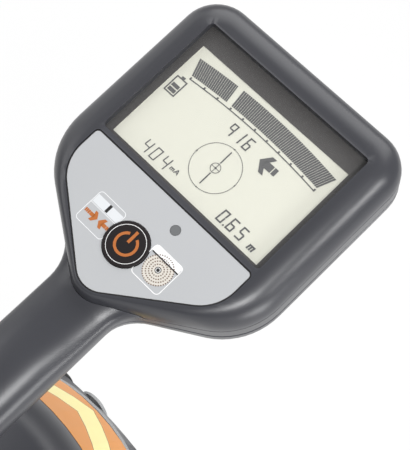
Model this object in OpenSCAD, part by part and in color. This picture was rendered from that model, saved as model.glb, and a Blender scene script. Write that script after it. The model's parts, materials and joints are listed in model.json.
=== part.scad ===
// Hand-held cable locator: display head on a hooked handle, body with battery bay, antenna blade.
// X is right, Y is away from the user, Z is up. The origin is the middle of the foot's underside.

/* [Placing] */
// Height of the display centre above the ground
display_height = 629; // [600:1:660]
// Display centre ahead of the blade's middle plane
display_reach = 44; // [34:1:54]
// Tilt of the display face from level
head_tilt = 25; // [20:1:30]

/* [Head] */
// Width of the display head
head_width = 123; // [114:1:132]
// Bezel above the window opening
bezel_top = 15.8; // [14:0.1:18]
// Radius of the top corners
head_top_r = 18; // [15:1:22]
// Radius of the lower corners
head_low_r = 34; // [30:1:38]
// Display centre down to the centres of the lower corners
head_low_drop = 32.5; // [29:0.5:36]
// Radius of the tip over the handle
head_tip_r = 14; // [12.5:0.5:16]
// Display centre down to the centre of the tip
head_tip_drop = 74.3; // [71:0.1:78]
// Height of the bezel
bezel_height = 13.5; // [12.5:0.5:15]
// Width of the bezel's rounded margin at the sides and top
bezel_margin = 12.5; // [11:0.5:13]
// Width of the bezel's rounded margin beside the keypad
rim_margin = 3.5; // [2.5:0.1:4.5]
// Thickness of the bezel's face
face_skin = 3.5; // [3:0.1:4.5]
// Wall of the head and handle mouldings
shell_wall = 2.5; // [2:0.1:3]
// Thickness of the seal between bezel and lower housing
head_seal_t = 0.8; // [0.6:0.1:1.2]
// Width of that seal
head_seal_w = 2.2; // [1.6:0.1:2.6]
// How far the seal stands back from the outside
head_seal_back = 0.5; // [0.3:0.1:0.8]
// Depth of the lower housing under the head
base_depth = 23; // [20:0.5:27]
// Straight side of the lower housing
base_side = 13; // [10:0.5:14]
// Width of the rounding under the head
base_round = 24; // [18:1:28]
// Depth of the groove round the lower housing
base_groove = 0.8; // [0.4:0.1:1.2]

/* [Display] */
// Width of the visible liquid-crystal area
lcd_w = 87.2; // [82:0.1:92]
// Height of the visible liquid-crystal area
lcd_h = 55; // [51:0.1:58]
// Black border beside the visible area
mask_side = 3.25; // [2.5:0.05:4]
// Black border above the visible area
mask_top = 9.2; // [7:0.1:10]
// Black border below the visible area
mask_low = 2.1; // [1.8:0.1:3]
// Corner radius of the window opening
window_r = 2; // [1:0.5:4]
// Thickness of the window
window_t = 1.8; // [1.2:0.1:2.4]
// How far the window reaches behind the bezel
window_lap = 1.4; // [1:0.1:1.8]
// Border of the liquid-crystal glass outside the visible area
lcd_border = 1.6; // [1:0.1:1.8]
// Thickness of the printed mask
mask_t = 0.3; // [0.2:0.05:0.5]
// Thickness of the liquid-crystal glass
lcd_t = 2.4; // [2:0.1:3]
// Thickness of the backlight
backlight_t = 2.6; // [2:0.1:3]
// Wall of the display carrier
carrier_wall = 1; // [0.8:0.1:1.2]
// Floor of the display carrier
carrier_floor = 2.8; // [2:0.1:3.5]
// Thickness of the circuit boards
board_t = 1.6; // [1.2:0.1:2]
// Half width of the board under the keypad
board_tail_half_w = 18; // [14:0.5:19]
// Display centre to the tail end of the display board
board_tail_drop = 70; // [68:0.5:71]

/* [Keypad] */
// Half width of the keypad overlay
overlay_half_w = 47; // [45:0.1:48]
// Bar between the window opening and the overlay
window_sill = 2.4; // [2:0.1:3.4]
// Radius of the overlay's upper corners
overlay_top_r = 2.5; // [1.5:0.1:4]
// Radius of the overlay's lower corners
overlay_low_r = 20.5; // [18:0.5:24]
// Display centre down to the centres of the overlay's lower corners
overlay_low_drop = 42.2; // [41:0.1:44]
// Radius of the overlay's tip
overlay_tip_r = 12.5; // [11:0.5:13]
// Display centre down to the centre of the overlay's tip
overlay_tip_drop = 71.8; // [70:0.1:72]
// Thickness of the overlay
overlay_t = 0.8; // [0.6:0.1:1]
// Depth of the overlay's bed in the bezel
overlay_bed = 1.1; // [1:0.1:1.4]
// Radius of the power key
key_r = 10.2; // [9:0.1:11]
// Display centre down to the centre of the power key
key_drop = 59.7; // [58:0.1:61]
// How far the key stands above the face
key_proud = 0.4; // [0.2:0.1:0.8]
// Width of the flange that keeps the key in
key_flange = 1.6; // [1.2:0.1:2.2]
// Thickness of that flange
key_flange_t = 1.2; // [0.8:0.1:1.6]
// Radius of the key's stem
key_stem_r = 3; // [2:0.1:4]
// Travel of the power key
key_travel = 0.8; // [0.5:0.05:1]
// Height of the switch under the key
switch_h = 3.2; // [2.6:0.1:3.6]
// Width of that switch
switch_w = 7; // [6:0.5:9]
// Radius of the light sensor
sensor_r = 2.25; // [1.8:0.05:2.8]
// Light sensor to the right of the middle
sensor_x = 10.3; // [9:0.1:12]
// Display centre down to the light sensor
sensor_drop = 41.2; // [40:0.1:43]

/* [Speaker] */
// Radius of the loudspeaker
speaker_r = 17; // [14:0.5:19]
// Height of the loudspeaker
speaker_h = 8; // [6:0.5:10]
// Radius of the loudspeaker's magnet
magnet_r = 9; // [7:0.5:11]
// Height of the loudspeaker's rim
speaker_rim = 2.5; // [2:0.1:3]
// Width of a slot of the grille
slot_w = 2.4; // [1.6:0.1:3]
// Pitch of the slots
slot_pitch = 5.4; // [4.6:0.1:6]
// Number of slots
slot_count = 5; // [3:2:5]

/* [Handle] */
// Half width of the handle
handle_half_w = 17; // [15.5:0.5:19]
// Height of the handle above its parting line
handle_up = 12.8; // [11:0.2:15]
// Height of the handle's top half where it meets the rim
neck_up = 8.5; // [7:0.1:10]
// Depth of the handle below its parting line
handle_down = 15.2; // [13:0.2:17]
// Straight side of the handle's section
handle_side = 1.6; // [1:0.1:2.5]
// Radius of the fillet between head and handle
neck_fillet = 20; // [16:1:24]
// Display centre to the start of the rear bend
handle_run = 195; // [185:1:205]
// Radius of the rear bend
bend_r = 36; // [32:1:42]
// Half width of the riser behind the bend
riser_half_w = 21; // [18:0.5:23]
// Depth of the riser behind its parting line
riser_back = 15.5; // [13:0.5:17]
// Depth of the riser ahead of its parting line
riser_fore = 18; // [15:0.5:20]
// Straight drop of the riser to the top of the body
riser_drop = 16; // [12:0.5:20]
// Depth that the riser enters the body
riser_tongue = 5; // [4:0.5:6]
// Radius of the wiring loom
loom_r = 2; // [1.5:0.1:2.4]
// Radius of the loom's bends inside the body
loom_bend_r = 9; // [8:0.5:11]

/* [Body] */
// Half width of the body
body_half_w = 54; // [50:0.5:57]
// Height of the upper body
body_height = 68; // [64:0.5:74]
// Body wall
body_wall = 3; // [2.5:0.1:3.5]
// Radius of the body's bowed nose, seen from above
nose_r = 100; // [80:5:140]
// Radius of the body's front corners
body_front_r = 20; // [18:0.5:24]
// Radius of the body's rear corners
body_rear_r = 16; // [15:0.5:18]
// Rounding of the body's shoulder
shoulder_r = 13; // [10:0.5:14]
// Front slope of the upper body from upright
nose_slope = 38.3; // [30:0.1:42]
// How far the seam stands back from the blade's front
seam_back = 6.5; // [4:0.1:9]
// Body rear behind the riser's parting line
body_back = 23; // [20:0.5:26]
// Thickness of the body seal
body_seal_t = 2.5; // [2:0.1:3.5]
// Width of the body seal
body_seal_w = 3.6; // [3:0.1:4.2]
// How far the body seal stands proud
body_seal_proud = 0.6; // [0.3:0.1:1]
// Height of the lower body
keel_height = 76; // [70:0.5:84]
// Length of the spigot that enters the blade
spigot_l = 16; // [12:0.5:20]
// Spigot wall
spigot_wall = 2.4; // [2:0.1:3]
// Signal board's half width
signal_half_w = 38; // [34:0.5:40]
// Signal board's length
signal_l = 52; // [46:0.5:56]
// Signal board below the top of the body
signal_drop = 36; // [33:0.5:40]
// Height of the tall parts on the signal board
chip_h = 5; // [3:0.5:7]
// Length of the plug at the loom's end
plug_l = 8; // [6:0.5:9]
// Half width of that plug
plug_half_w = 7; // [5:0.5:9]

/* [Battery] */
// Diameter of a cell
cell_d = 33.2; // [32:0.1:34]
// Length of a cell without its nub
cell_l = 60; // [58:0.5:62]
// Radius of a cell's nub
nub_r = 4.7; // [4:0.1:5.5]
// Height of a cell's nub
nub_h = 1.5; // [1:0.1:2]
// Wall of the battery box
box_wall = 2; // [1.5:0.1:2.5]
// Width of the box's flange
box_flange = 3; // [2:0.1:4]
// Thickness of a contact spring
contact_t = 0.6; // [0.4:0.1:0.8]
// Width of a contact spring
contact_w = 10; // [8:0.5:12]
// Floor of the box above the seam
box_rise = 12; // [11:0.5:14]
// Thickness of the battery door
door_t = 2.7; // [2.2:0.1:2.9]
// Radius of the door's hinge barrel
hinge_r = 3; // [2.6:0.1:3.5]
// Radius of the hinge pin
hinge_pin_r = 1.3; // [1:0.05:1.5]
// Share of the door's width taken by its own knuckle
knuckle_share = 0.5; // [0.4:0.01:0.6]
// Depth of the thumb lip on the door
thumb_lip = 3; // [2:0.1:4]
// Width of the thumb lip
thumb_lip_w = 22; // [16:1:28]

/* [Blade] */
// Half width of the blade at its top
blade_half_w = 49; // [46:0.5:52]
// Half width of the blade at its foot
blade_low_half_w = 45; // [42:0.5:48]
// Depth of the blade at its top
blade_d = 42; // [40:0.5:46]
// Depth of the blade at its foot
blade_low_d = 37; // [35:0.5:40]
// Radius of the blade's bowed front and rear, seen from above
blade_bow_r = 600; // [400:20:900]
// Corner radius of the blade
blade_r = 13; // [11:0.5:16]
// Wall of the blade
blade_wall = 2.6; // [2.2:0.1:3]
// Height of the foot
foot_h = 34; // [28:0.5:40]
// Floor of the foot
foot_floor = 8; // [6:0.5:10]
// How far the foot stands out from the blade
foot_proud = 2.2; // [1.6:0.1:3]
// Rounding of the foot's lower edge
foot_round = 5; // [3:0.5:6]

/* [Antennas] */
// Half width of the antenna spine
spine_half_w = 37; // [34:0.5:38]
// Thickness of the antenna spine
spine_t = 3; // [2.5:0.1:4]
// Radius of a ferrite rod
ferrite_r = 4; // [3.5:0.1:4.4]
// Length of a ferrite rod
ferrite_l = 70; // [60:1:72]
// Radius of a winding
coil_r = 6; // [5.2:0.1:6.4]
// Length of a winding
coil_l = 42; // [36:1:46]
// Width of a rod's saddle
saddle_w = 6; // [5:0.5:8]
// Wall of a saddle round its rod
saddle_wall = 1.8; // [1.4:0.1:2.2]
// Height of the bottom antenna above the ground
low_antenna_h = 42; // [38:1:48]
// Height of the top antenna as a share of the blade's height
top_antenna_share = 0.84; // [0.8:0.01:0.86]
// Height of the upright antenna as a share of the blade's height
null_antenna_share = 0.36; // [0.34:0.01:0.4]

/* [Sockets] */
// Radius of the accessory socket's bore
accessory_r = 6.2; // [5:0.1:7]
// Accessory socket to the left of the middle
accessory_x = 8; // [6:0.5:10]
// Radius of the headphone socket's bore
headphone_r = 1.8; // [1.6:0.05:2.6]
// Headphone socket to the left of the middle
headphone_x = 31; // [29:0.5:32]
// Wall of a socket
socket_wall = 2.3; // [1.8:0.1:2.8]
// Depth of a socket's bore
socket_depth = 14; // [12:0.5:16]
// Width of a socket's flange
socket_flange = 2; // [1.5:0.1:2.5]
// Thickness of a socket's flange
socket_flange_t = 1.6; // [1.2:0.1:2]
// Thickness of a socket's end wall
socket_end = 2; // [1.5:0.1:2.5]
// Thickness of a cap at its rim
cap_rim = 1.6; // [1.2:0.1:2.2]
// Bulge of a cap as a share of its radius
cap_bulge_share = 0.26; // [0.2:0.01:0.32]
// Radius of a cap's hinge barrel
cap_barrel_r = 1.5; // [1.3:0.05:1.7]
// Radius of a cap's hinge pin
cap_pin_r = 0.8; // [0.6:0.05:0.9]
// Width of a cap's knuckle
cap_knuckle_w = 4.4; // [3.6:0.1:5]
// Width of a lug beside the knuckle
cap_lug_w = 2; // [1.5:0.1:2.5]
// Depth of a socket's seat in the lower body
socket_seat = 0.4; // [0.3:0.05:0.8]
// Sockets below the seam
socket_drop = 19.5; // [18:0.5:22]

/* [Fixings] */
// Shank radius of the case screws
screw_r = 1.5; // [1.3:0.05:1.8]
// Head radius of the case screws
screw_head_r = 2.8; // [2.4:0.1:3.2]
// Head height of the case screws
screw_head_h = 2; // [1.6:0.1:2.4]
// Wall of a screw boss
boss_wall = 2; // [1.6:0.1:2.2]
// Gap between a screw post and the board beside it
post_gap = 1; // [0.6:0.1:2]
// Thread length of a case screw
screw_bite = 6; // [5:0.5:7]
// Width of a screw's driver slot
driver_w = 0.8; // [0.6:0.1:1]
// Depth of a screw's driver slot
driver_d = 0.9; // [0.6:0.1:1.1]

/* [Fits] */
// Gap beside seated parts
clear = 0.15; // [0.1:0.01:0.2]
// Gap round moving parts
run_clear = 0.25; // [0.2:0.01:0.3]
// Gap of a pin in its bore
pin_clear = 0.04; // [0.02:0.01:0.08]
// Gap over the door's moving edge
door_clear = 0.6; // [0.5:0.05:0.8]

/* [Hidden] */
over = 1;
$fn = 48;
arc_steps = 10;
round_steps = 7;
right_angle = 90;
full_turn = 360;
half = 0.5;
shade_moulding = [0.2, 0.2, 0.21];
shade_black = [0.06, 0.06, 0.065];
shade_seal = [0.42, 0.43, 0.44];
shade_silver = [0.78, 0.79, 0.8];
shade_lcd = [0.86, 0.85, 0.78];
shade_board = [0.1, 0.3, 0.16];
shade_steel = [0.7, 0.71, 0.73];
shade_copper = [0.72, 0.42, 0.22];
shade_ferrite = [0.15, 0.14, 0.14];
shade_clear = [0.9, 0.92, 0.94, 0.4];

// Places on the face, from the display centre
window_w = lcd_w + 2 * mask_side;
window_rise = lcd_h / 2 + mask_top;
window_drop = lcd_h / 2 + mask_low;
overlay_drop = window_drop + window_sill;
head_rise = window_rise + bezel_top;
board_half_w = lcd_w / 2 + lcd_border;

// Levels inside the head, down from the display face
parting = bezel_height + head_seal_t;
window_back = face_skin + window_t;
lcd_face = window_back + mask_t;
lcd_back = lcd_face + lcd_t;
backlight_back = lcd_back + backlight_t;
board_top = backlight_back + carrier_floor;
board_under = board_top + board_t;
floor_top = parting + base_depth - shell_wall;

// Shares along the straight side of the lower housing where its groove lies
groove_shares = [0, 0.6, 0.64, 0.71, 0.75, 1];
plain_shares = [0, 1];
// Squareness of the rounded edges: 2 is round
edge_power = 2.3;
// Rounding of a section as a share of its half width
round_share = 0.97;
// Depth of the housing's closed end as a share of its full depth
end_share = 0.86;
// Length of the closed end's rise as a share of the head's rise
end_rise_share = 0.5;

function lerp(a, b, t) = a + (b - a) * t;
function clamp(t) = min(1, max(0, t));
function ease(t) = let (u = clamp(t)) u * u * (3 - 2 * u);
function turned(a) = a - full_turn * floor(a / full_turn);
function backwards(list) = [for (i = [len(list) - 1 : -1 : 0]) list[i]];
function flipped(list) = [for (p = list) [-p[0], p[1]]];
function upturned(list) = [for (p = list) [p[0], -p[1]]];

// Outward direction of the straight edge between two circles [x, y, r]
function edge_angle(a, b) =
    let (d = [b[0] - a[0], b[1] - a[1]])
    atan2(d[1], d[0]) - acos((a[2] - b[2]) / norm(d));
function arc(c, from, sweep, steps) =
    [for (i = [0 : steps]) let (t = from + sweep * i / steps) [c[0] + c[2] * cos(t), c[1] + c[2] * sin(t)]];
// Outline of a band drawn tight round circles that are listed anticlockwise
function band(circles) =
    let (n = len(circles))
    [for (i = [0 : n - 1])
        let (
            from = edge_angle(circles[(i + n - 1) % n], circles[i]),
            to = edge_angle(circles[i], circles[(i + 1) % n])
        )
        each arc(circles[i], from, turned(to - from), arc_steps)];
function inset(circles, d) = [for (c = circles) [c[0], c[1], c[2] - d]];
function at_height(outline, z) = [for (p = outline) [p[0], p[1], z]];

// Outlines of the head, the face inside its rounded margin, and the keypad
function shield(half_w, rise, top_r, low_r, low_drop, tip_r, tip_drop) = [
    [half_w - top_r, rise - top_r, top_r],
    [top_r - half_w, rise - top_r, top_r],
    [low_r - half_w, -low_drop, low_r],
    [0, -tip_drop, tip_r],
    [half_w - low_r, -low_drop, low_r]
];
head_half_w = head_width / 2;
outer_shield = shield(head_half_w, head_rise, head_top_r, head_low_r, head_low_drop, head_tip_r,
    head_tip_drop);
diagonal = edge_angle(outer_shield[3], outer_shield[4]);
diagonal_out = [cos(diagonal), sin(diagonal)];
diagonal_reach = diagonal_out[1] * -head_tip_drop + head_tip_r;
// The face's lower corners keep the narrow rim along the diagonal edge
face_half_w = head_half_w - bezel_margin;
face_low_r = (diagonal_reach - rim_margin - diagonal_out[0] * face_half_w + diagonal_out[1] * head_low_drop)
    / (1 - diagonal_out[0]);
face_shield = shield(face_half_w, head_rise - bezel_margin, head_top_r - bezel_margin * half, face_low_r,
    head_low_drop, head_tip_r - rim_margin, head_tip_drop);
overlay_shield = shield(overlay_half_w, -overlay_drop, overlay_top_r, overlay_low_r, overlay_low_drop,
    overlay_tip_r, overlay_tip_drop);

// Screws between lower housing and bezel, and posts of the display board, as [x, y] on the face
post_r = screw_r + boss_wall;
top_post_share = 0.58;
top_post_y = (window_rise + window_lap + head_rise - shell_wall) / 2;
head_posts = concat(
    [for (s = [-1, 1]) [s * top_post_share * head_half_w, top_post_y]],
    [for (s = [-1, 1]) [s * (board_tail_half_w + post_r + post_gap), -key_drop]]
);
board_post_shares = [0.84, 0.68];
board_posts = [for (sx = [-1, 1], sy = [-1, 1])
    [sx * board_post_shares[0] * board_half_w, sy * board_post_shares[1] * window_rise]];

// Stations down the right edge of the head and along the handle: [distance along the face, half width]
neck_x = handle_half_w + neck_fillet;
neck_end = (diagonal_out[0] * neck_x - diagonal_reach - neck_fillet) / -diagonal_out[1];
head_stations = concat(
    [for (p = backwards(arc(outer_shield[0], 0, right_angle, arc_steps))) [p[1], p[0]]],
    [[head_rise * (1 - end_rise_share), head_half_w]],
    [for (p = backwards(arc(outer_shield[4], diagonal, turned(-diagonal), arc_steps))) [p[1], p[0]]]
);
neck_stations = [for (p = arc([neck_x, neck_end, neck_fillet], diagonal + 2 * right_angle,
    turned(-diagonal), round_steps)) [p[1], p[0]]];
swell_l = handle_half_w * 2;

// The handle's path in the plane of symmetry of the head: straight, bend, riser, as [length, turn] steps
bend_turn = right_angle - head_tilt;
bend_steps = 9;
straight_steps = 7;
function walk(p, a, steps, i = 0) =
    i == len(steps) ? [[p, a]] :
    let (m = a + steps[i][1] / 2)
    concat([[p, a]], walk(p + steps[i][0] * [cos(m), sin(m)], a + steps[i][1], steps, i + 1));
function straight(length, count) = [for (i = [1 : count]) [length / count, 0]];
function bend(r, turn, count) = [for (i = [1 : count]) [2 * r * sin(abs(turn) / count / 2), turn / count]];
level = 2 * right_angle;
handle_path = walk([neck_end, -parting], level, concat(
    straight(handle_run + neck_end, straight_steps),
    bend(bend_r, bend_turn, bend_steps),
    straight(riser_drop + riser_tongue, 2)
));
bend_end = handle_path[straight_steps + bend_steps][0];
function in_world(p) = [
    display_reach + p[0] * cos(head_tilt) - p[1] * sin(head_tilt),
    display_height + p[0] * sin(head_tilt) + p[1] * cos(head_tilt)
];
riser_y = in_world(bend_end)[0];
body_top = in_world(bend_end)[1] - riser_drop;
seam = body_top - body_height;
keel_top = seam - body_seal_t;
blade_top = keel_top - keel_height;

// Half of a section, from the parting line round to the bottom
function half_section(w, h, side, corner, groove, shares) = concat(
    [for (i = [0 : len(shares) - 1])
        [w - (i > 1 && i < len(shares) - 2 ? groove : 0), -side * shares[i]]],
    [for (i = [1 : round_steps]) let (t = right_angle * i / round_steps)
        [w - corner * (1 - pow(cos(t), 2 / edge_power)), -side - (h - side) * pow(sin(t), 2 / edge_power)]]
);
function wall_ring(outer, inner, up) = up
    ? concat(upturned(outer), backwards(flipped(upturned(outer))), flipped(upturned(inner)),
        backwards(upturned(inner)))
    : concat(flipped(outer), backwards(outer), inner, backwards(flipped(inner)));
// A section with a flat top edge in place of the hollow
function solid_ring(outer, w, count) = concat(flipped(outer), backwards(outer),
    [for (i = [0 : count - 1]) [lerp(w, -w, i / (count - 1)), 0]]);
// A ring of section points set across the path at [y, z] with direction a
function across(ring, p, a) = [for (q = ring) [q[0], p[0] + sin(a) * q[1], p[1] - cos(a) * q[1]]];

// Growth of the housing from the handle's depth to the head's, and its rise towards the closed end
function head_growth(y) = ease((y - neck_end) / head_tip_r / 2);
function end_rise(y) = lerp(end_share, 1, ease((head_rise - y) / (head_rise * end_rise_share)));
function housing_depth(y) = lerp(handle_down, base_depth, head_growth(y)) * end_rise(y);
function housing_side(y) = lerp(handle_side, base_side * end_rise(y), head_growth(y));
function lower_ring(w, h, side, groove, closed) =
    let (
        corner = min(base_round, w * round_share),
        outer = half_section(w, h, side, corner, groove, groove_shares),
        inner = half_section(w - shell_wall, h - shell_wall, side * half, corner - shell_wall * round_share,
            0, groove_shares)
    )
    closed ? solid_ring(outer, w - shell_wall, 2 * len(inner)) : wall_ring(outer, inner, false);
function upper_ring(w, h) =
    let (
        outer = half_section(w, h, handle_side, w * round_share, 0, plain_shares),
        inner = half_section(w - shell_wall, h - shell_wall, handle_side, (w - shell_wall) * round_share, 0,
            plain_shares)
    )
    wall_ring(outer, inner, true);
// How far the riser's section has grown, from none on the handle to whole at the body
function riser_growth(i) = ease((i - straight_steps + 1) / (bend_steps + 1));

// Closed solid through rings of equal length, capped at both ends
module loft(rings) {
    n = len(rings[0]);
    m = len(rings);
    polyhedron(
        points = [for (r = rings) each r],
        faces = concat(
            [[for (i = [0 : n - 1]) i]],
            [[for (i = [n - 1 : -1 : 0]) (m - 1) * n + i]],
            [for (k = [0 : m - 2], i = [0 : n - 1])
                let (a = k * n, b = a + n, j = (i + 1) % n)
                each [[a + i, b + i, b + j], [a + i, b + j, a + j]]]
        )
    );
}

// Closed solid through rings that run out along one edge of a wall and back along the other
module channel(rings) {
    n = len(rings[0]);
    m = len(rings);
    last = (m - 1) * n;
    polyhedron(
        points = [for (r = rings) each r],
        faces = concat(
            [for (i = [0 : n / 2 - 2])
                let (j = i + 1, p = n - 1 - i, q = n - 2 - i)
                each i < n / 4 ? [[i, j, p], [j, q, p]] : [[i, j, q], [i, q, p]]],
            [for (i = [0 : n / 2 - 2])
                let (j = last + i + 1, k = last + i, p = last + n - 1 - i, q = last + n - 2 - i)
                each [[k, p, j], [j, p, q]]],
            [for (k = [0 : m - 2], i = [0 : n - 1])
                let (a = k * n, b = a + n, j = (i + 1) % n)
                each [[a + i, b + i, b + j], [a + i, b + j, a + j]]]
        )
    );
}

// Closed solid through a cycle of rings, with a way through
module looped(rings) {
    n = len(rings[0]);
    m = len(rings);
    polyhedron(
        points = [for (r = rings) each r],
        faces = [for (k = [0 : m - 1], i = [0 : n - 1])
            let (a = k * n, b = ((k + 1) % m) * n, j = (i + 1) % n)
            each [[a + i, b + i, b + j], [a + i, b + j, a + j]]]
    );
}

module in_head() {
    translate([0, display_reach, display_height])
        rotate([head_tilt, 0, 0])
            children();
}

module rounded_plate(x0, x1, y0, y1, r, z0, z1) {
    translate([0, 0, z0])
        linear_extrude(z1 - z0)
            polygon(band([
                [x1 - r, y1 - r, r],
                [x0 + r, y1 - r, r],
                [x0 + r, y0 + r, r],
                [x1 - r, y0 + r, r]
            ]));
}

module slab(x0, x1, y0, y1, z0, z1) {
    translate([x0, y0, z0])
        cube([x1 - x0, y1 - y0, z1 - z0]);
}

module rod(p, r, z0, z1) {
    translate([p[0], p[1], z0])
        cylinder(r = r, h = z1 - z0);
}

// A cylinder along X or along Y
module rod_x(y, z, r, x0, x1) {
    translate([x0, y, z])
        rotate([0, right_angle, 0])
            cylinder(r = r, h = x1 - x0);
}

module rod_y(x, z, r, y0, y1) {
    translate([x, y0, z])
        rotate([-right_angle, 0, 0])
            cylinder(r = r, h = y1 - y0);
}

// A pan-head screw along +Z with the underside of its head at zero
module screw(length) {
    difference() {
        union() {
            cylinder(r = screw_r, h = length);
            translate([0, 0, -screw_head_h])
                cylinder(r = screw_head_r, h = screw_head_h);
        }
        for (a = [0, right_angle])
            rotate([0, 0, a])
                slab(-screw_head_r, screw_head_r, -driver_w / 2, driver_w / 2, -screw_head_h - over,
                    driver_d - screw_head_h);
    }
}

// Height of the bezel's screw posts in its face, as a share of the face's thickness
post_rise_share = 0.9;
// Shares of the way from the outside to the face, and of the bezel's height, along the bezel's edge
bezel_shares = [[0, 0], [0, 0.05], [0.034, 0.296], [0.134, 0.525], [0.293, 0.722], [0.5, 0.873],
    [0.741, 0.968], [1, 1]];
// Rings of the bezel's rounded edge between two heights
function edge_rings(outside, face, low, high) = [for (s = bezel_shares)
    [for (i = [0 : len(outside) - 1])
        let (p = lerp(outside[i], face[i], s[0]))
        [p[0], p[1], lerp(low, high, s[1])]]];

module head_bezel() {
    outside = band(outer_shield);
    face = band(face_shield);
    inside = band(inset(outer_shield, shell_wall));
    color(shade_moulding)
        in_head()
            difference() {
                union() {
                    difference() {
                        loft(edge_rings(outside, face, -bezel_height, 0));
                        loft(edge_rings(inside, face, -bezel_height - over, -face_skin));
                        behind_window(-window_back - over, -face_skin, clear);
                    }
                    for (p = head_posts)
                        rod(p, post_r, -bezel_height, -face_skin * post_rise_share);
                }
                rounded_plate(-window_w / 2, window_w / 2, -window_drop, window_rise, window_r,
                    -face_skin - over, over);
                translate([0, 0, -overlay_bed])
                    linear_extrude(overlay_bed + over)
                        polygon(band(overlay_shield));
                rod([0, -key_drop], key_r + run_clear, -face_skin - over, over);
                rod([sensor_x, -sensor_drop], sensor_r + clear, -face_skin - over, over);
                for (p = head_posts)
                    rod(p, screw_r + clear, -bezel_height - over, screw_bite + clear - bezel_height);
            }
}

module head_seal() {
    color(shade_black)
        in_head()
            translate([0, 0, -parting])
                linear_extrude(head_seal_t)
                    difference() {
                        polygon(band(inset(outer_shield, head_seal_back)));
                        polygon(band(inset(outer_shield, head_seal_back + head_seal_w)));
                    }
}

module lower_housing() {
    rings = concat(
        [for (s = concat(head_stations, neck_stations))
            let (y = s[0], groove = base_groove * head_growth(y), closed = y > head_rise - shell_wall)
            if (y > neck_end)
                across(lower_ring(s[1], housing_depth(y), housing_side(y), groove, closed), [y, -parting],
                    level)],
        [for (i = [0 : len(handle_path) - 1])
            let (
                g = riser_growth(i),
                w = lerp(handle_half_w, riser_half_w, g),
                h = lerp(handle_down, riser_fore, g)
            )
            across(lower_ring(w, h, handle_side, 0, false), handle_path[i][0], handle_path[i][1])]
    );
    color(shade_moulding)
        in_head()
            difference() {
                union() {
                    channel(rings);
                    for (p = head_posts)
                        rod(p, post_r, shell_wall * half - parting - housing_depth(p[1]), -parting);
                    for (p = board_posts)
                        rod(p, post_r, shell_wall * half - parting - housing_depth(p[1]), -board_under);
                    for (p = handle_posts)
                        rod(p, post_r, -parting - handle_down * handle_boss_share, -parting);
                }
                for (p = head_posts) {
                    rod(p, screw_r + clear, -floor_top - over, over - parting);
                    rod(p, screw_head_r + run_clear, -floor_top - base_depth, -head_screw_seat);
                }
                for (p = board_posts)
                    rod(p, screw_r + clear, -board_under - screw_bite, over - board_under);
                for (p = handle_posts) {
                    rod(p, screw_r + clear, -parting - handle_down, over - parting);
                    rod(p, screw_head_r + run_clear, -floor_top - base_depth, -handle_seat);
                }
                for (i = [0 : slot_count - 1])
                    let (x = (i - (slot_count - 1) / 2) * slot_pitch, l = speaker_r - magnet_r * half)
                    slab(x - slot_w / 2, x + slot_w / 2, -l, l, -floor_top - shell_wall - over,
                        over - floor_top);
            }
}
// Height of the head screws' seats below the face
head_screw_seat = parting + base_side;

module handle_top() {
    beside = band(inset(outer_shield, -clear));
    rings = concat(
        [for (s = neck_stations)
            if (s[0] > neck_end)
                across(upper_ring(s[1], neck_up), [s[0], -parting], level)],
        [for (i = [0 : len(handle_path) - 1])
            let (
                g = riser_growth(i),
                up = lerp(neck_up, handle_up, ease((neck_end - handle_path[i][0][0]) / swell_l)),
                w = lerp(handle_half_w, riser_half_w, g)
            )
            across(upper_ring(w, lerp(up, riser_back, g)), handle_path[i][0], handle_path[i][1])]
    );
    color(shade_moulding)
        in_head()
            difference() {
                union() {
                    channel(rings);
                    for (p = handle_posts)
                        rod(p, post_r, -parting, handle_up * handle_boss_share - parting);
                }
                loft(concat([at_height(beside, -parting - over)],
                    edge_rings(beside, band(inset(face_shield, -clear)), -bezel_height, 0)));
                for (p = handle_posts)
                    rod(p, screw_r + clear, -parting - over, screw_bite - parting);
            }
}

// A plate that fills the window opening and laps behind the bezel
module behind_window(z0, z1, gap = 0) {
    lap = window_lap + gap;
    x = window_w / 2 + lap;
    rounded_plate(-x, x, -window_drop - lap, window_rise + lap, window_r, z0, z1);
}

module display_window() {
    color(shade_clear)
        in_head()
            behind_window(-window_back, -face_skin);
}

module display_mask() {
    color(shade_black)
        in_head()
            difference() {
                behind_window(-lcd_face, -window_back);
                slab(-lcd_w / 2, lcd_w / 2, -lcd_h / 2, lcd_h / 2, -lcd_face - over, over);
            }
}

// Half sizes of the liquid-crystal glass
glass_x = board_half_w;
glass_y = lcd_h / 2 + lcd_border;

module lcd_panel() {
    color(shade_lcd)
        in_head()
            slab(-glass_x, glass_x, -glass_y, glass_y, -lcd_back, -lcd_face);
}

module backlight() {
    color([1, 1, 1])
        in_head()
            slab(-glass_x, glass_x, -glass_y, glass_y, -backlight_back, -lcd_back);
}

module display_carrier() {
    pocket_x = glass_x + clear;
    pocket_y = glass_y + clear;
    color(shade_black)
        in_head()
            difference() {
                slab(-pocket_x - carrier_wall, pocket_x + carrier_wall, -pocket_y - carrier_wall,
                    pocket_y + carrier_wall, -board_top, -lcd_face);
                slab(-pocket_x, pocket_x, -pocket_y, pocket_y, -backlight_back, over);
                slab(-board_tail_half_w, board_tail_half_w, -pocket_y * half, pocket_y * half,
                    -board_top - over, over);
                for (p = board_posts)
                    rod(p, screw_head_r + run_clear, -board_top - over, over - backlight_back);
            }
}

module display_board() {
    color(shade_board)
        in_head()
            difference() {
                union() {
                    slab(-board_half_w, board_half_w, -window_drop, window_rise, -board_under, -board_top);
                    slab(-board_tail_half_w, board_tail_half_w, -board_tail_drop, -window_drop, -board_under,
                        -board_top);
                }
                for (p = board_posts)
                    rod(p, screw_r + clear, -board_under - over, over);
            }
}

module board_screws() {
    color(shade_steel)
        in_head()
            for (p = board_posts)
                translate([p[0], p[1], -board_top])
                    rotate([2 * right_angle, 0, 0])
                        screw(board_t + screw_bite - clear);
}

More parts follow.
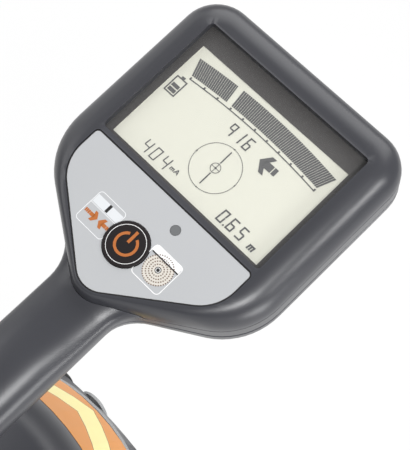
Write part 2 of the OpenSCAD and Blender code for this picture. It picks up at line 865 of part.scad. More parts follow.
module head_screws() {
    color(shade_steel)
        in_head()
            for (p = head_posts)
                translate([p[0], p[1], -head_screw_seat])
                    screw(head_screw_seat - bezel_height + screw_bite - clear);
}

module keypad_overlay() {
    color(shade_silver)
        in_head()
            difference() {
                translate([0, 0, -overlay_bed])
                    linear_extrude(overlay_t)
                        polygon(band(inset(overlay_shield, clear)));
                rod([0, -key_drop], key_r + run_clear, -face_skin, over);
                rod([sensor_x, -sensor_drop], sensor_r + clear, -face_skin, over);
            }
}

module power_key() {
    color(shade_black)
        in_head()
            union() {
                rod([0, -key_drop], key_r, -face_skin - key_flange_t, key_proud);
                rod([0, -key_drop], key_r + key_flange, -face_skin - key_flange_t, -face_skin);
                rod([0, -key_drop], key_stem_r, switch_h + key_travel + run_clear - board_top, -face_skin);
            }
}

module key_switch() {
    color(shade_steel)
        in_head()
            union() {
                translate([0, -key_drop, -board_top])
                    slab(-switch_w / 2, switch_w / 2, -switch_w / 2, switch_w / 2, 0, switch_h * half);
                rod([0, -key_drop], key_stem_r * half, -board_top, switch_h - board_top);
            }
}

module light_sensor() {
    color(shade_seal)
        in_head()
            rod([sensor_x, -sensor_drop], sensor_r, -board_top, overlay_t - overlay_bed);
}

module speaker() {
    color(shade_ferrite)
        in_head()
            union() {
                rod([0, 0], speaker_r, clear - floor_top, clear + speaker_rim - floor_top);
                rod([0, 0], magnet_r, clear - floor_top, speaker_h - floor_top);
            }
}

// Screws that join the handle's halves, as [x, y] on the face
handle_screw_shares = [0.3, 0.6, 0.9];
handle_screw_side = 0.48;
handle_posts = [for (i = [0 : len(handle_screw_shares) - 1])
    [(i % 2 * 2 - 1) * handle_screw_side * handle_half_w,
        neck_end - handle_screw_shares[i] * (handle_run + neck_end)]];
// Shares of the handle's height taken by the bosses and by the screw seats
handle_boss_share = 0.76;
handle_seat_share = 0.55;
handle_seat = parting + handle_down * handle_seat_share;

module handle_screws() {
    color(shade_steel)
        in_head()
            for (p = handle_posts)
                translate([p[0], p[1], -handle_seat])
                    screw(handle_seat - parting + screw_bite - clear);
}

// Outline of a body section, shrunk by d: rounded corners, a flat rear and a front that bows out with bow_r
body_steps = 8;
function body_outline(front, rear, w, front_r, rear_r, bow_r, d) =
    let (
        side = w - front_r,
        rise = sqrt(pow(bow_r - front_r, 2) - side * side),
        turn = atan2(rise, side),
        bow = arc([0, front - bow_r, bow_r - d], turn, 2 * (right_angle - turn), body_steps)
    )
    concat(
        arc([side, front - bow_r + rise, front_r - d], 0, turn, body_steps),
        [for (i = [1 : body_steps - 1]) bow[i]],
        arc([-side, front - bow_r + rise, front_r - d], level - turn, turn, body_steps),
        arc([rear_r - w, rear + rear_r, rear_r - d], level, right_angle, body_steps),
        arc([w - rear_r, rear + rear_r, rear_r - d], level + right_angle, right_angle, body_steps)
    );
blade_front_y = blade_d / 2;
seam_front = blade_front_y - seam_back;
body_rear = riser_y - body_back;
nose_run = tan(nose_slope);
function nose(z) = seam_front - (z - seam) * nose_run;
function body_ring(z, d) =
    at_height(body_outline(nose(z), body_rear, body_half_w, body_front_r, body_rear_r, nose_r, d), z);
// Shares of the straight wall below the shoulder where rings lie
wall_shares = [0, 0.35, 0.7];
function body_rings(wall) =
    let (r = shoulder_r - wall, z0 = body_top - shoulder_r)
    concat(
        [for (s = wall_shares) body_ring(lerp(seam, z0, s), wall)],
        [for (i = [0 : round_steps]) let (t = right_angle * i / round_steps)
            body_ring(z0 + r * sin(t), wall + r * (1 - cos(t)))]
    );

// The battery bay: two cells side by side along Y behind the door
cell_gap = clear * 2;
contact_play = contact_t * 2;
box_half_w = cell_d + cell_gap + box_wall;
box_low = seam + box_rise;
box_high = box_low + cell_d + cell_gap + 2 * box_wall;
box_rear = body_rear + body_wall;
cell_rear = box_rear + contact_t + contact_play;
box_front = cell_rear + cell_l + nub_h + contact_t + contact_play + box_wall;
cell_z = box_low + box_wall + clear + cell_d / 2;
cell_x = (cell_d + cell_gap) / 2;
hinge_y = body_rear - hinge_r / 2;
hinge_z = box_low - hinge_r;
knuckle_half_w = box_half_w * knuckle_share;

// The signal board hangs under the top of the body, ahead of the battery box
signal_rear = box_front + post_r;
signal_top = body_top - signal_drop;
signal_under = signal_top - board_t;
signal_post_shares = [0.15, 0.7];
signal_post_side = 0.86;
chip_share = 0.3;
signal_posts = [for (s = [-1, 1], f = signal_post_shares)
    [s * signal_post_side * signal_half_w, signal_rear + f * signal_l]];

// Screws between the lower and the upper body
body_post_share = 0.36;
body_posts = [for (s = [-1, 1])
    [s * (body_half_w - body_wall - post_r * half), lerp(body_rear, seam_front, body_post_share)]];
body_seat_share = 0.16;
body_screw_seat = keel_top - keel_height * body_seat_share;
body_post_h = screw_bite + boss_wall;

// Outline of the riser where it enters the body, widened by d
function riser_outline(d) =
    let (
        w = riser_half_w + d,
        fore = upturned(half_section(w, riser_fore + d, handle_side, w * round_share, 0, plain_shares)),
        back = half_section(w, riser_back + d, handle_side, w * round_share, 0, plain_shares),
        rest = [for (i = [1 : len(back) - 1]) back[i]]
    )
    concat(fore, backwards(flipped(fore)), flipped(rest), backwards(rest));

module body_upper() {
    color(shade_moulding)
        difference() {
            union() {
                difference() {
                    loft(concat(backwards(body_rings(body_wall)), body_rings(0)));
                    slab(-box_half_w - run_clear, box_half_w + run_clear, body_rear - over, box_rear + over,
                        box_low, box_high + door_clear);
                    slab(-knuckle_half_w - run_clear, knuckle_half_w + run_clear, body_rear - over,
                        box_rear + over, hinge_z - hinge_r, box_high);
                    translate([0, riser_y, body_top - body_wall - over])
                        linear_extrude(body_wall + 2 * over)
                            polygon(riser_outline(clear));
                }
                for (s = [-1, 1])
                    rod_x(hinge_y, hinge_z, hinge_r, min(s * box_half_w, s * (knuckle_half_w + run_clear)),
                        max(s * box_half_w, s * (knuckle_half_w + run_clear)));
                for (p = signal_posts)
                    rod(p, post_r, signal_top, body_top - body_wall * half);
                for (p = body_posts)
                    rod(p, post_r, seam, seam + body_post_h);
            }
            rod_x(hinge_y, hinge_z, hinge_pin_r + pin_clear, -box_half_w - over, box_half_w + over);
            for (p = signal_posts)
                rod(p, screw_r + clear, signal_top - over, signal_top + screw_bite);
            for (p = body_posts)
                rod(p, screw_r + clear, seam - over, seam + screw_bite);
        }
}

module body_seal() {
    color(shade_seal)
        difference() {
            looped([
                body_ring(keel_top, -body_seal_proud),
                body_ring(seam, -body_seal_proud),
                body_ring(seam, body_seal_w - body_seal_proud),
                body_ring(keel_top, body_seal_w - body_seal_proud)
            ]);
            for (p = body_posts)
                rod(p, post_r + clear, keel_top - over, seam + over);
        }
}

// The lower body narrows from the seam to the blade
keel_steps = 12;
keel_nose_share = 0.12;
spigot_inset = blade_wall + clear;
function keel_front(t) =
    let (u = 1 - clamp(t / keel_nose_share))
    lerp(blade_front_y, nose(keel_top), u * u);
// Bow of the lower body's front: it flattens as soon as the front is upright
function keel_bow(t) = 1 / lerp(1 / nose_r, 1 / blade_bow_r, ease(t / keel_nose_share));
function keel_ring(t, d, z) =
    let (s = ease(t))
    at_height(body_outline(keel_front(t), lerp(body_rear, -blade_front_y, s),
        lerp(body_half_w, blade_half_w, s), lerp(body_front_r, blade_r, s), lerp(body_rear_r, blade_r, s),
        keel_bow(t), d), z);
function keel_outside() = [for (i = [keel_steps : -1 : 0])
    let (t = i / keel_steps)
    keel_ring(t, 0, keel_top - t * keel_height)];
function keel_inside() = [for (i = [0 : keel_steps])
    let (t = i / keel_steps)
    keel_ring(t, lerp(body_wall, spigot_inset + spigot_wall, ease(t)),
        keel_top - t * keel_height + 4 * t * (1 - t) * body_wall)];
function blade_w(z) = lerp(blade_low_half_w, blade_half_w, z / blade_top);
function blade_half_d(z) = lerp(blade_low_d, blade_d, z / blade_top) / 2;
function blade_outline(z, d) =
    body_outline(blade_half_d(z), -blade_half_d(z), blade_w(z), blade_r, blade_r, blade_bow_r, d);
function blade_ring(z, d) = at_height(blade_outline(z, d), z);
spigot_low = blade_top - spigot_l;

module body_lower() {
    color(shade_moulding)
        difference() {
            union() {
                looped(concat(
                    keel_outside(),
                    keel_inside(),
                    [blade_ring(spigot_low, spigot_inset + spigot_wall)],
                    [blade_ring(spigot_low, spigot_inset)],
                    [blade_ring(blade_top, spigot_inset)]
                ));
                intersection() {
                    loft(keel_outside());
                    for (p = body_posts)
                        rod(p, screw_head_r + run_clear + boss_wall, blade_top, keel_top);
                }
            }
            for (p = body_posts) {
                rod(p, screw_r + clear, blade_top, keel_top + over);
                rod(p, screw_head_r + run_clear, blade_top, body_screw_seat);
            }
            for (s = sockets) {
                rod_y(-s[0], socket_z, s[1] + socket_wall + clear, 0, blade_front_y + over);
                rod_y(-s[0], socket_z, flange_r(s) + clear, seat_y(s), blade_front_y + over);
            }
        }
}

module body_screws() {
    color(shade_steel)
        for (p = body_posts)
            translate([p[0], p[1], body_screw_seat])
                screw(seam - body_screw_seat + screw_bite - clear);
}

module signal_board() {
    // Shares of the board where its tall parts lie
    chips = [[-0.5, 0.5], [0, 0.62], [0.45, 0.4]];
    chip_w = signal_half_w * chip_share;
    color(shade_board)
        difference() {
            union() {
                slab(-signal_half_w, signal_half_w, signal_rear, signal_rear + signal_l, signal_under,
                    signal_top);
                for (c = chips)
                    translate([c[0] * signal_half_w, signal_rear + c[1] * signal_l, signal_top])
                        slab(-chip_w / 2, chip_w / 2, -chip_w / 2, chip_w / 2, -board_t * half, chip_h);
            }
            for (p = signal_posts)
                rod(p, screw_r + clear, signal_under - over, signal_top + over);
        }
}

module signal_screws() {
    color(shade_steel)
        for (p = signal_posts)
            translate([p[0], p[1], signal_under])
                screw(board_t + screw_bite - clear);
}

// The loom runs from the display board through the handle, over the battery box and to the signal board
loom_level = board_under + loom_r + clear;
loom_offset = loom_level - parting;
loom_run_z = (box_high + body_top - body_wall) / 2;
plug_top = signal_top + plug_l;

module wiring_loom() {
    steps = 5;
    drop = in_world(bend_end)[1] - loom_run_z - loom_bend_r;
    run = signal_rear + plug_l / 2 - riser_y - loom_offset - 2 * loom_bend_r;
    path = walk([-board_tail_drop + plug_l / 2, -loom_level], level, concat(
        straight(handle_run - board_tail_drop + plug_l / 2, straight_steps),
        bend(bend_r - loom_offset, bend_turn, bend_steps),
        straight(drop, 1),
        bend(loom_bend_r, right_angle, steps),
        straight(run, 1),
        bend(loom_bend_r, -right_angle, steps),
        straight(loom_run_z - loom_bend_r - plug_top + loom_r, 1)
    ));
    outline = arc([0, 0, loom_r], 0, full_turn * (1 - 1 / arc_steps), arc_steps - 1);
    color(shade_black)
        union() {
            in_head() {
                loft([for (s = path) across(outline, s[0], s[1])]);
                slab(-plug_half_w, plug_half_w, -board_tail_drop, plug_l - board_tail_drop,
                    -loom_level - loom_r, -board_under);
            }
            slab(-plug_half_w, plug_half_w, signal_rear, signal_rear + plug_l, signal_top, plug_top);
        }
}

module battery_box() {
    color(shade_black)
        difference() {
            union() {
                slab(-box_half_w, box_half_w, box_rear, box_front, box_low, box_high);
                slab(-box_half_w - box_flange, box_half_w + box_flange, box_rear, box_rear + box_wall,
                    box_low - box_flange, box_high + box_flange);
            }
            slab(box_wall - box_half_w, box_half_w - box_wall, box_rear - over, box_front - box_wall,
                box_low + box_wall, box_high - box_wall);
        }
}

module battery_cells() {
    color(shade_copper)
        for (s = [-1, 1])
            union() {
                rod_y(s * cell_x, cell_z, cell_d / 2, cell_rear, cell_rear + cell_l);
                rod_y(s * cell_x, cell_z, nub_r, cell_rear, cell_rear + cell_l + nub_h);
            }
}

// Two bowed leaf springs on the end wall of the box
module battery_contacts() {
    wall_y = box_front - box_wall;
    tip_y = cell_rear + cell_l + nub_h;
    color(shade_steel)
        for (s = [-1, 1])
            translate([s * cell_x, 0, cell_z])
                union() {
                    slab(-contact_w / 2, contact_w / 2, wall_y - contact_t, wall_y, -cell_d / 4, cell_d / 4);
                    slab(-contact_w / 2, contact_w / 2, tip_y, wall_y, -nub_r, -nub_r * half);
                    slab(-contact_w / 2, contact_w / 2, tip_y, tip_y + contact_t, -nub_r, nub_r);
                }
}

door_inner = body_rear + door_t;

module battery_door() {
    color(shade_moulding)
        difference() {
            union() {
                slab(-box_half_w, box_half_w, body_rear, door_inner, box_low + run_clear, box_high);
                slab(-knuckle_half_w, knuckle_half_w, hinge_y, door_inner, hinge_z, box_low + door_t);
                rod_x(hinge_y, hinge_z, hinge_r, -knuckle_half_w, knuckle_half_w);
                slab(-thumb_lip_w / 2, thumb_lip_w / 2, body_rear - thumb_lip, body_rear + door_t * half,
                    box_high - thumb_lip, box_high);
            }
            rod_x(hinge_y, hinge_z, hinge_pin_r + pin_clear, -box_half_w, box_half_w);
        }
}

// The bridge between the two cells, on the inside of the door
module door_contact() {
    color(shade_steel)
        union() {
            slab(-cell_x - contact_w / 2, cell_x + contact_w / 2, door_inner, door_inner + contact_t,
                cell_z - contact_w / 2, cell_z + contact_w / 2);
            for (s = [-1, 1])
                translate([s * cell_x, 0, cell_z])
                    slab(-contact_w / 2, contact_w / 2, door_inner, cell_rear - clear, -contact_t,
                        contact_t);
        }
}

module door_pin() {
    color(shade_steel)
        rod_x(hinge_y, hinge_z, hinge_pin_r, -box_half_w, box_half_w);
}

// Sockets in the front of the lower body: [distance left of the middle, bore radius]
sockets = [[accessory_x, accessory_r], [headphone_x, headphone_r]];
socket_z = seam - socket_drop;
function flange_r(s) = s[1] + socket_wall + socket_flange;
// How far the bowed front lies behind its middle at a distance from it
function front_sag(x) = blade_bow_r - sqrt(blade_bow_r * blade_bow_r - x * x);
function seat_y(s) = blade_front_y - front_sag(s[0] + flange_r(s)) - socket_seat;
function lug_y(s) = blade_front_y + clear - front_sag(max(0, s[0] - flange_r(s)));
function flange_face(s) = seat_y(s) + socket_flange_t;
// Each cap swings down about an axis below its flange
function cap_axis_y(s) = flange_face(s) + cap_barrel_r;
function cap_axis_z(s) = socket_z - flange_r(s) - cap_barrel_r - run_clear;
cap_knuckle_half = cap_knuckle_w / 2;
// Thickness of a cap's arm as a share of its rim's
cap_arm_share = 0.8;

module socket(s) {
    face = flange_face(s);
    lug_from = cap_knuckle_half + run_clear;
    lug_to = lug_from + cap_lug_w;
    lug_z = cap_axis_z(s);
    translate([-s[0], 0, 0])
        difference() {
            union() {
                rod_y(0, socket_z, s[1] + socket_wall, face - socket_depth - socket_end, face);
                rod_y(0, socket_z, flange_r(s), seat_y(s), face);
                for (m = [0, 1])
                    mirror([m, 0, 0]) {
                        rod_x(cap_axis_y(s), lug_z, cap_barrel_r, lug_from, lug_to);
                        slab(lug_from, lug_to, lug_y(s), face, lug_z, socket_z - s[1] - socket_wall * half);
                        slab(lug_from, lug_to, lug_y(s), cap_axis_y(s), lug_z - cap_pin_r, lug_z + cap_pin_r);
                    }
            }
            rod_y(0, socket_z, s[1], face - socket_depth, face + over);
            rod_x(cap_axis_y(s), lug_z, cap_pin_r + pin_clear, -flange_r(s), flange_r(s));
        }
}

module cap(s) {
    r = flange_r(s);
    bulge = r * cap_bulge_share;
    ball_r = (r * r + bulge * bulge) / (2 * bulge);
    back = flange_face(s) + clear;
    pin_half = cap_knuckle_half + run_clear + cap_lug_w;
    translate([-s[0], 0, 0])
        union() {
            intersection() {
                translate([0, back + cap_rim + bulge - ball_r, socket_z])
                    sphere(r = ball_r);
                rod_y(0, socket_z, r, back, back + cap_rim + bulge + over);
            }
            slab(-cap_knuckle_half, cap_knuckle_half, back, back + cap_rim * cap_arm_share, cap_axis_z(s),
                socket_z - r * half);
            rod_x(cap_axis_y(s), cap_axis_z(s), cap_barrel_r, -cap_knuckle_half, cap_knuckle_half);
            rod_x(cap_axis_y(s), cap_axis_z(s), cap_pin_r, -pin_half, pin_half);
        }
}

module accessory_socket() {
    color(shade_black)
        socket(sockets[0]);
}

module accessory_cap() {
    color(shade_seal)
        cap(sockets[0]);
}

module headphone_socket() {
    color(shade_black)
        socket(sockets[1]);
}

module headphone_cap() {
    color(shade_black)
        cap(sockets[1]);
}

// Half of the blade's outline, shrunk by d: side is 1 for the front and -1 for the rear
function blade_half(z, d, side) =
    let (corner = side * (blade_w(z) - d))
    concat([[corner, 0]], [for (p = blade_outline(z, d)) if (side * p[1] > 0) p], [[-corner, 0]]);
function blade_half_ring(z, side) =
    at_height(concat(blade_half(z, 0, side), backwards(blade_half(z, blade_wall, side))), z);
blade_steps = 6;
function blade_rings(side) =
    [for (i = [0 : blade_steps]) blade_half_ring(lerp(foot_floor, blade_top, i / blade_steps), side)];
blade_screw_shares = [0.21, 0.55, 0.92];
blade_screw_side = 0.8;
blade_posts = [for (s = [-1, 1], f = blade_screw_shares)
    [s * blade_screw_side * spine_half_w, f * blade_top]];
spine_half_t = spine_t / 2;
blade_seat = screw_head_h + run_clear;

module blade_front() {
    color(shade_moulding)
        difference() {
            union() {
                channel(blade_rings(1));
                for (p = blade_posts)
                    rod_y(p[0], p[1], post_r, spine_half_t, blade_half_d(p[1]) - blade_wall * half);
            }
            for (p = blade_posts)
                rod_y(p[0], p[1], screw_r + clear, 0, spine_half_t + screw_bite);
        }
}

module blade_rear() {
    color(shade_moulding)
        difference() {
            union() {
                channel(blade_rings(-1));
                for (p = blade_posts)
                    rod_y(p[0], p[1], post_r, blade_wall * half - blade_half_d(p[1]), -spine_half_t);
            }
            for (p = blade_posts) {
                rod_y(p[0], p[1], screw_r + clear, -blade_d, over);
                rod_y(p[0], p[1], screw_head_r + run_clear, -blade_d, blade_seat - blade_half_d(p[1]));
            }
        }
}

module blade_screws() {
    color(shade_steel)
        for (p = blade_posts)
            translate([p[0], blade_seat - blade_half_d(p[1]), p[1]])
                rotate([-right_angle, 0, 0])
                    screw(blade_half_d(p[1]) - blade_seat + spine_half_t + screw_bite - clear);
}

module blade_foot() {
    outside = concat(
        [blade_ring(-over, foot_round - foot_proud)],
        [for (i = [0 : round_steps]) let (t = right_angle * i / round_steps)
            blade_ring(foot_round * (1 - cos(t)), foot_round * (1 - sin(t)) - foot_proud)],
        [blade_ring(foot_h - foot_proud * half, -foot_proud)],
        [blade_ring(foot_h, -foot_proud * half)]
    );
    color(shade_black)
        difference() {
            loft(concat(outside, [blade_ring(foot_h, -clear), blade_ring(foot_floor, -clear)]));
            slab(-blade_half_w * 2, blade_half_w * 2, -blade_d * 2, blade_d * 2, -over * 2, 0);
        }
}

// Antennas lie on the front of the spine, in saddles at both ends of their rods
antenna_y = spine_half_t + coil_r + clear;
saddle_half = ferrite_r + saddle_wall;
saddle_x = ferrite_l / 2 - saddle_w;
top_antenna_h = top_antenna_share * blade_top;
null_antenna_h = null_antenna_share * blade_top;
spine_low = foot_floor + foot_proud;
spine_high = blade_top + spigot_l;

// Puts an antenna drawn along Z at its height, level or upright
module antenna(height, upright) {
    translate([0, antenna_y, height])
        rotate([0, upright ? 0 : right_angle, 0])
            children();
}

module saddles() {
    for (m = [0, 1])
        mirror([0, 0, m])
            slab(-saddle_half, saddle_half, -coil_r - clear, saddle_half, saddle_x, saddle_x + saddle_w);
}

module rod_bore() {
    rod([0, 0], ferrite_r + pin_clear, -ferrite_l, ferrite_l);
}

module antenna_spine() {
    color(shade_board)
        difference() {
            union() {
                slab(-spine_half_w, spine_half_w, -spine_half_t, spine_half_t, spine_low, spine_high);
                antenna(low_antenna_h, false) saddles();
                antenna(top_antenna_h, false) saddles();
                antenna(null_antenna_h, true) saddles();
            }
            antenna(low_antenna_h, false) rod_bore();
            antenna(top_antenna_h, false) rod_bore();
            antenna(null_antenna_h, true) rod_bore();
            for (p = blade_posts)
                rod_y(p[0], p[1], screw_r + clear, -spine_t, spine_t);
        }
}

module ferrite() {
    rod([0, 0], ferrite_r, -ferrite_l / 2, ferrite_l / 2);
}

module winding() {
    difference() {
        rod([0, 0], coil_r, -coil_l / 2, coil_l / 2);
        rod([0, 0], ferrite_r + pin_clear, -coil_l, coil_l);
    }
}

module low_ferrite() {
    color(shade_ferrite)
        antenna(low_antenna_h, false)
            ferrite();
}

module low_coil() {
    color(shade_copper)
        antenna(low_antenna_h, false)
            winding();
}

module top_ferrite() {
    color(shade_ferrite)
        antenna(top_antenna_h, false)
            ferrite();
}

module top_coil() {
    color(shade_copper)
        antenna(top_antenna_h, false)
            winding();
}

module null_ferrite() {
    color(shade_ferrite)
        antenna(null_antenna_h, true)
            ferrite();
}

module null_coil() {
    color(shade_copper)
        antenna(null_antenna_h, true)
            winding();
}

head_bezel();
head_seal();
lower_housing();
handle_top();
handle_screws();
head_screws();
display_window();
display_mask();
lcd_panel();
backlight();
display_carrier();
display_board();
board_screws();
keypad_overlay();
power_key();
key_switch();
light_sensor();
speaker();
wiring_loom();
body_upper();
body_seal();
body_lower();
body_screws();
signal_board();
signal_screws();
battery_box();
battery_cells();
battery_contacts();
battery_door();
door_contact();
door_pin();
accessory_socket();
accessory_cap();
headphone_socket();
headphone_cap();
blade_front();
blade_rear();
blade_screws();
blade_foot();
antenna_spine();
low_ferrite();
low_coil();
top_ferrite();
top_coil();
null_ferrite();
null_coil();
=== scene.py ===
# %% [markdown]
# # A cable locator, dressed for its portrait
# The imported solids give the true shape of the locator. This lesson loads them as a fixed frame,
# smooths the moulded pieces, prints the display and the keypad, sticks on the coloured stripes and
# lights it all the way a catalogue photographer would.

# %% Load the frame
import json
import math

import bmesh
import bpy
from mathutils import Matrix, Vector

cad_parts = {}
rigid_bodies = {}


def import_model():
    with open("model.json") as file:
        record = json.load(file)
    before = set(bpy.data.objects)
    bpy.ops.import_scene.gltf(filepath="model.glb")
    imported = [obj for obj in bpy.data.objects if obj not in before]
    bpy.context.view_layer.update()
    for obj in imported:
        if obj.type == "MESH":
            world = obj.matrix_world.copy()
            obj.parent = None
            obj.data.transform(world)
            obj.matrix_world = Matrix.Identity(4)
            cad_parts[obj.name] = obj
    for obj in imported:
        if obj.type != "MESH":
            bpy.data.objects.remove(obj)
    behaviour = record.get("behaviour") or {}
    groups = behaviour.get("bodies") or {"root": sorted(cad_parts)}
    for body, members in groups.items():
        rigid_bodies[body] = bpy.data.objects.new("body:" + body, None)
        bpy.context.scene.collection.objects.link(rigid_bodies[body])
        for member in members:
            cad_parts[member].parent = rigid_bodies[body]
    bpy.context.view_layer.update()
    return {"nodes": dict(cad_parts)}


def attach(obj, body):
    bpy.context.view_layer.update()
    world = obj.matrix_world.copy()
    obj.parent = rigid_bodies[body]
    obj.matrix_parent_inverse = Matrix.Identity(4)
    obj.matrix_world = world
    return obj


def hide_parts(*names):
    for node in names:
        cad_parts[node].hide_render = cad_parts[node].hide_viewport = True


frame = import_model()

MM = 0.001

# %% [markdown]
# ## The face of the head as a drawing board
# Nearly everything printed on the locator lies on its tilted face. Working flat and tilting at the
# end is easier than working on the slope, so one matrix takes millimetres on the face (x to the
# right, y up the face, z out of it, zero in the middle of the display) into the frame.

# %% The tilted face
HEAD_TILT = math.radians(25)
DISPLAY_CENTRE = Vector((0, 0.044, 0.629))
FACE = Matrix.Translation(DISPLAY_CENTRE) @ Matrix.Rotation(HEAD_TILT, 4, "X") @ Matrix.Scale(MM, 4)
print("face normal:", [round(v, 3) for v in FACE.to_3x3().normalized().col[2]])

# %% [markdown]
# ## The camera
# The photograph was taken from above and to the right of the user, about half a metre from the
# display. Its place and its axes were found by matching the corners of the display, the key and the
# edge of the head, so they are set directly instead of being aimed by eye.

# %% Camera
CAMERA_PLACE = Vector((0.15105, -0.25299, 1.00318))
CAMERA_RIGHT = Vector((0.69808, 0.71175, -0.07810))
CAMERA_DOWN = Vector((0.66215, -0.68321, -0.30786))
FOCAL_PIXELS = 1185.4
IMAGE_HEIGHT = 450
SENSOR = 36

tilt = Matrix.Rotation(HEAD_TILT, 3, "X")
right, down = tilt @ CAMERA_RIGHT, tilt @ CAMERA_DOWN
bpy.ops.object.camera_add()
camera = bpy.context.object
turn = Matrix((right, -down, right.cross(-down))).transposed()
camera.matrix_world = Matrix.Translation(CAMERA_PLACE) @ turn.to_4x4()
camera.data.sensor_fit = "VERTICAL"
camera.data.sensor_height = SENSOR
camera.data.lens = SENSOR * FOCAL_PIXELS / IMAGE_HEIGHT
camera.data.clip_start = 0.01
bpy.context.scene.camera = camera
bpy.context.scene.view_settings.view_transform = "Standard"
print("lens:", round(camera.data.lens, 1), "mm")

# %% [markdown]
# ## Shader sums
# A material is a little graph of nodes. Writing `0.3 + mask * 0.2` is far easier to read than adding
# two Math nodes by hand, so a Wire stands for one output of a node and turns Python's operators
# into Math nodes. A Paint is the material that they belong to.


# %% Wire and Paint
class Wire:
    """One output of a node, ready for sums."""

    def __init__(self, paint, socket):
        self.paint = paint
        self.socket = socket

    def __add__(self, other):
        return self.paint.math("ADD", self, other)

    def __sub__(self, other):
        return self.paint.math("SUBTRACT", self, other)

    def __mul__(self, other):
        return self.paint.math("MULTIPLY", self, other)

    def __gt__(self, other):
        return self.paint.math("GREATER_THAN", self, other)

    def __lt__(self, other):
        return self.paint.math("LESS_THAN", self, other)

    __radd__ = __add__


class Paint:
    """A material in the making."""

    def __init__(self, name, **constants):
        self.open(bpy.data.materials.new(name), "Principled BSDF", constants)
        self.place = self.node("ShaderNodeTexCoord", out="Object")

    def open(self, block, shader, constants):
        """Takes hold of a new block's graph and of its shader."""
        block.use_nodes = True
        self.block = block
        self.tree = block.node_tree
        self.shader = self.tree.nodes[shader]
        self.set(**constants)

    def feed(self, socket, value):
        """Links a Wire to a socket, or sets a plain value on it."""
        if isinstance(value, Wire):
            self.tree.links.new(value.socket, socket)
        else:
            socket.default_value = value

    def node(self, kind, settings=None, sockets=None, out=0):
        """Adds a node and hands back one of its outputs."""
        made = self.tree.nodes.new(kind)
        for key, value in (settings or {}).items():
            setattr(made, key, value)
        for key, value in (sockets or {}).items():
            self.feed(made.inputs[key], value)
        return Wire(self, made.outputs[out])

    def math(self, operation, *values):
        return self.node("ShaderNodeMath", {"operation": operation}, dict(enumerate(values)))

    def noise(self, scale, detail):
        sockets = {"Vector": self.place, "Scale": scale, "Detail": detail}
        return self.node("ShaderNodeTexNoise", None, sockets)

    def between(self, factor, a, b):
        """A colour that goes from a to b."""
        return self.node("ShaderNodeMix", {"data_type": "RGBA"}, {0: factor, 6: a, 7: b}, out=2)

    def bump(self, height, depth):
        self.set(Normal=self.node("ShaderNodeBump", None, {"Height": height, "Distance": depth}))

    def set(self, **sockets):
        """Feeds the shader's own sockets. An underscore stands for a space in a name."""
        for socket, value in sockets.items():
            self.feed(self.shader.inputs[socket.replace("_", " ")], value)
        return self.block


def rgb(red, green, blue):
    return (red, green, blue, 1.0)


def shade(colour, factor):
    """A lighter or darker colour."""
    return rgb(*(min(1.0, c * factor) for c in colour[:3]))


# %% [markdown]
# ## Finishes
# Most of the locator is dark grey moulded plastic. The mould is spark-eroded, so the plastic has a
# fine even grain that softens every highlight. Two noises do it: a small one for the grain, which
# bumps the surface and stirs its roughness, and a broad one for the slight unevenness of tone that
# handling leaves.


# %% Moulded plastic, rubber and metal
FINE_GRAIN = 0.000001
SOFT_GRAIN = 0.00001
GRAIN_SCALE = 1900.0
CLOUD_SCALE = 11.0
EDGE_PATCH_SCALE = 160.0
STREAK_SCALE = 700.0
WEAR_AND_HIGHLIGHT_RADIUS = 0.0012
WORN_AND_LIT = 2.4


# Sharp edges are painted paler: partly as worn plastic, partly as a painted highlight where they catch the
# light.
def worn_and_lit_edges(paint):
    """A mask that rises towards one where the surface turns within a small radius."""
    soft = paint.node("ShaderNodeBevel", {"samples": 6}, {"Radius": WEAR_AND_HIGHLIGHT_RADIUS})
    true = paint.node("ShaderNodeNewGeometry", out="Normal")
    same = paint.node("ShaderNodeVectorMath", {"operation": "DOT_PRODUCT"}, {0: soft, 1: true}, out="Value")
    return paint.node("ShaderNodeMapRange", None, {"Value": same, "From Min": 0.99, "From Max": 0.82})


def moulded(name, colour, rough, grain=FINE_GRAIN, scale=GRAIN_SCALE, tone=0.12, wear_and_highlight=0.0, **constants):
    """Plastic, rubber or ink. The tone says how uneven its colour is, the edge share how pale its edges
    turn: partly worn plastic, partly a painted highlight.
    """
    paint = Paint(name, **constants)
    cloud = paint.noise(CLOUD_SCALE, 4.0)
    spark = paint.noise(scale, 3.0)
    toned = paint.between(cloud, shade(colour, 1 - tone), shade(colour, 1 + tone))
    dull = rough + (spark - 0.5) * 0.08 + (cloud - 0.5) * 0.1
    # Paler sharp edges: partly worn plastic, partly a painted highlight.
    if wear_and_highlight:
        rubbed_and_lit = worn_and_lit_edges(paint) * paint.noise(EDGE_PATCH_SCALE, 4.0)
        toned = paint.between(rubbed_and_lit * wear_and_highlight, toned, shade(colour, WORN_AND_LIT))
        dull = dull - rubbed_and_lit * 0.12
    if grain:
        paint.bump(spark, grain)
    return paint.set(Base_Color=toned, Roughness=dull)


def metal(name, colour, rough):
    """Bare metal with the faint streaks that drawing and turning leave."""
    paint = Paint(name, Metallic=1.0)
    streak = paint.noise(STREAK_SCALE, 5.0)
    paint.bump(streak, SOFT_GRAIN)
    toned = paint.between(streak, shade(colour, 0.85), colour)
    return paint.set(Base_Color=toned, Roughness=rough + streak * 0.15)


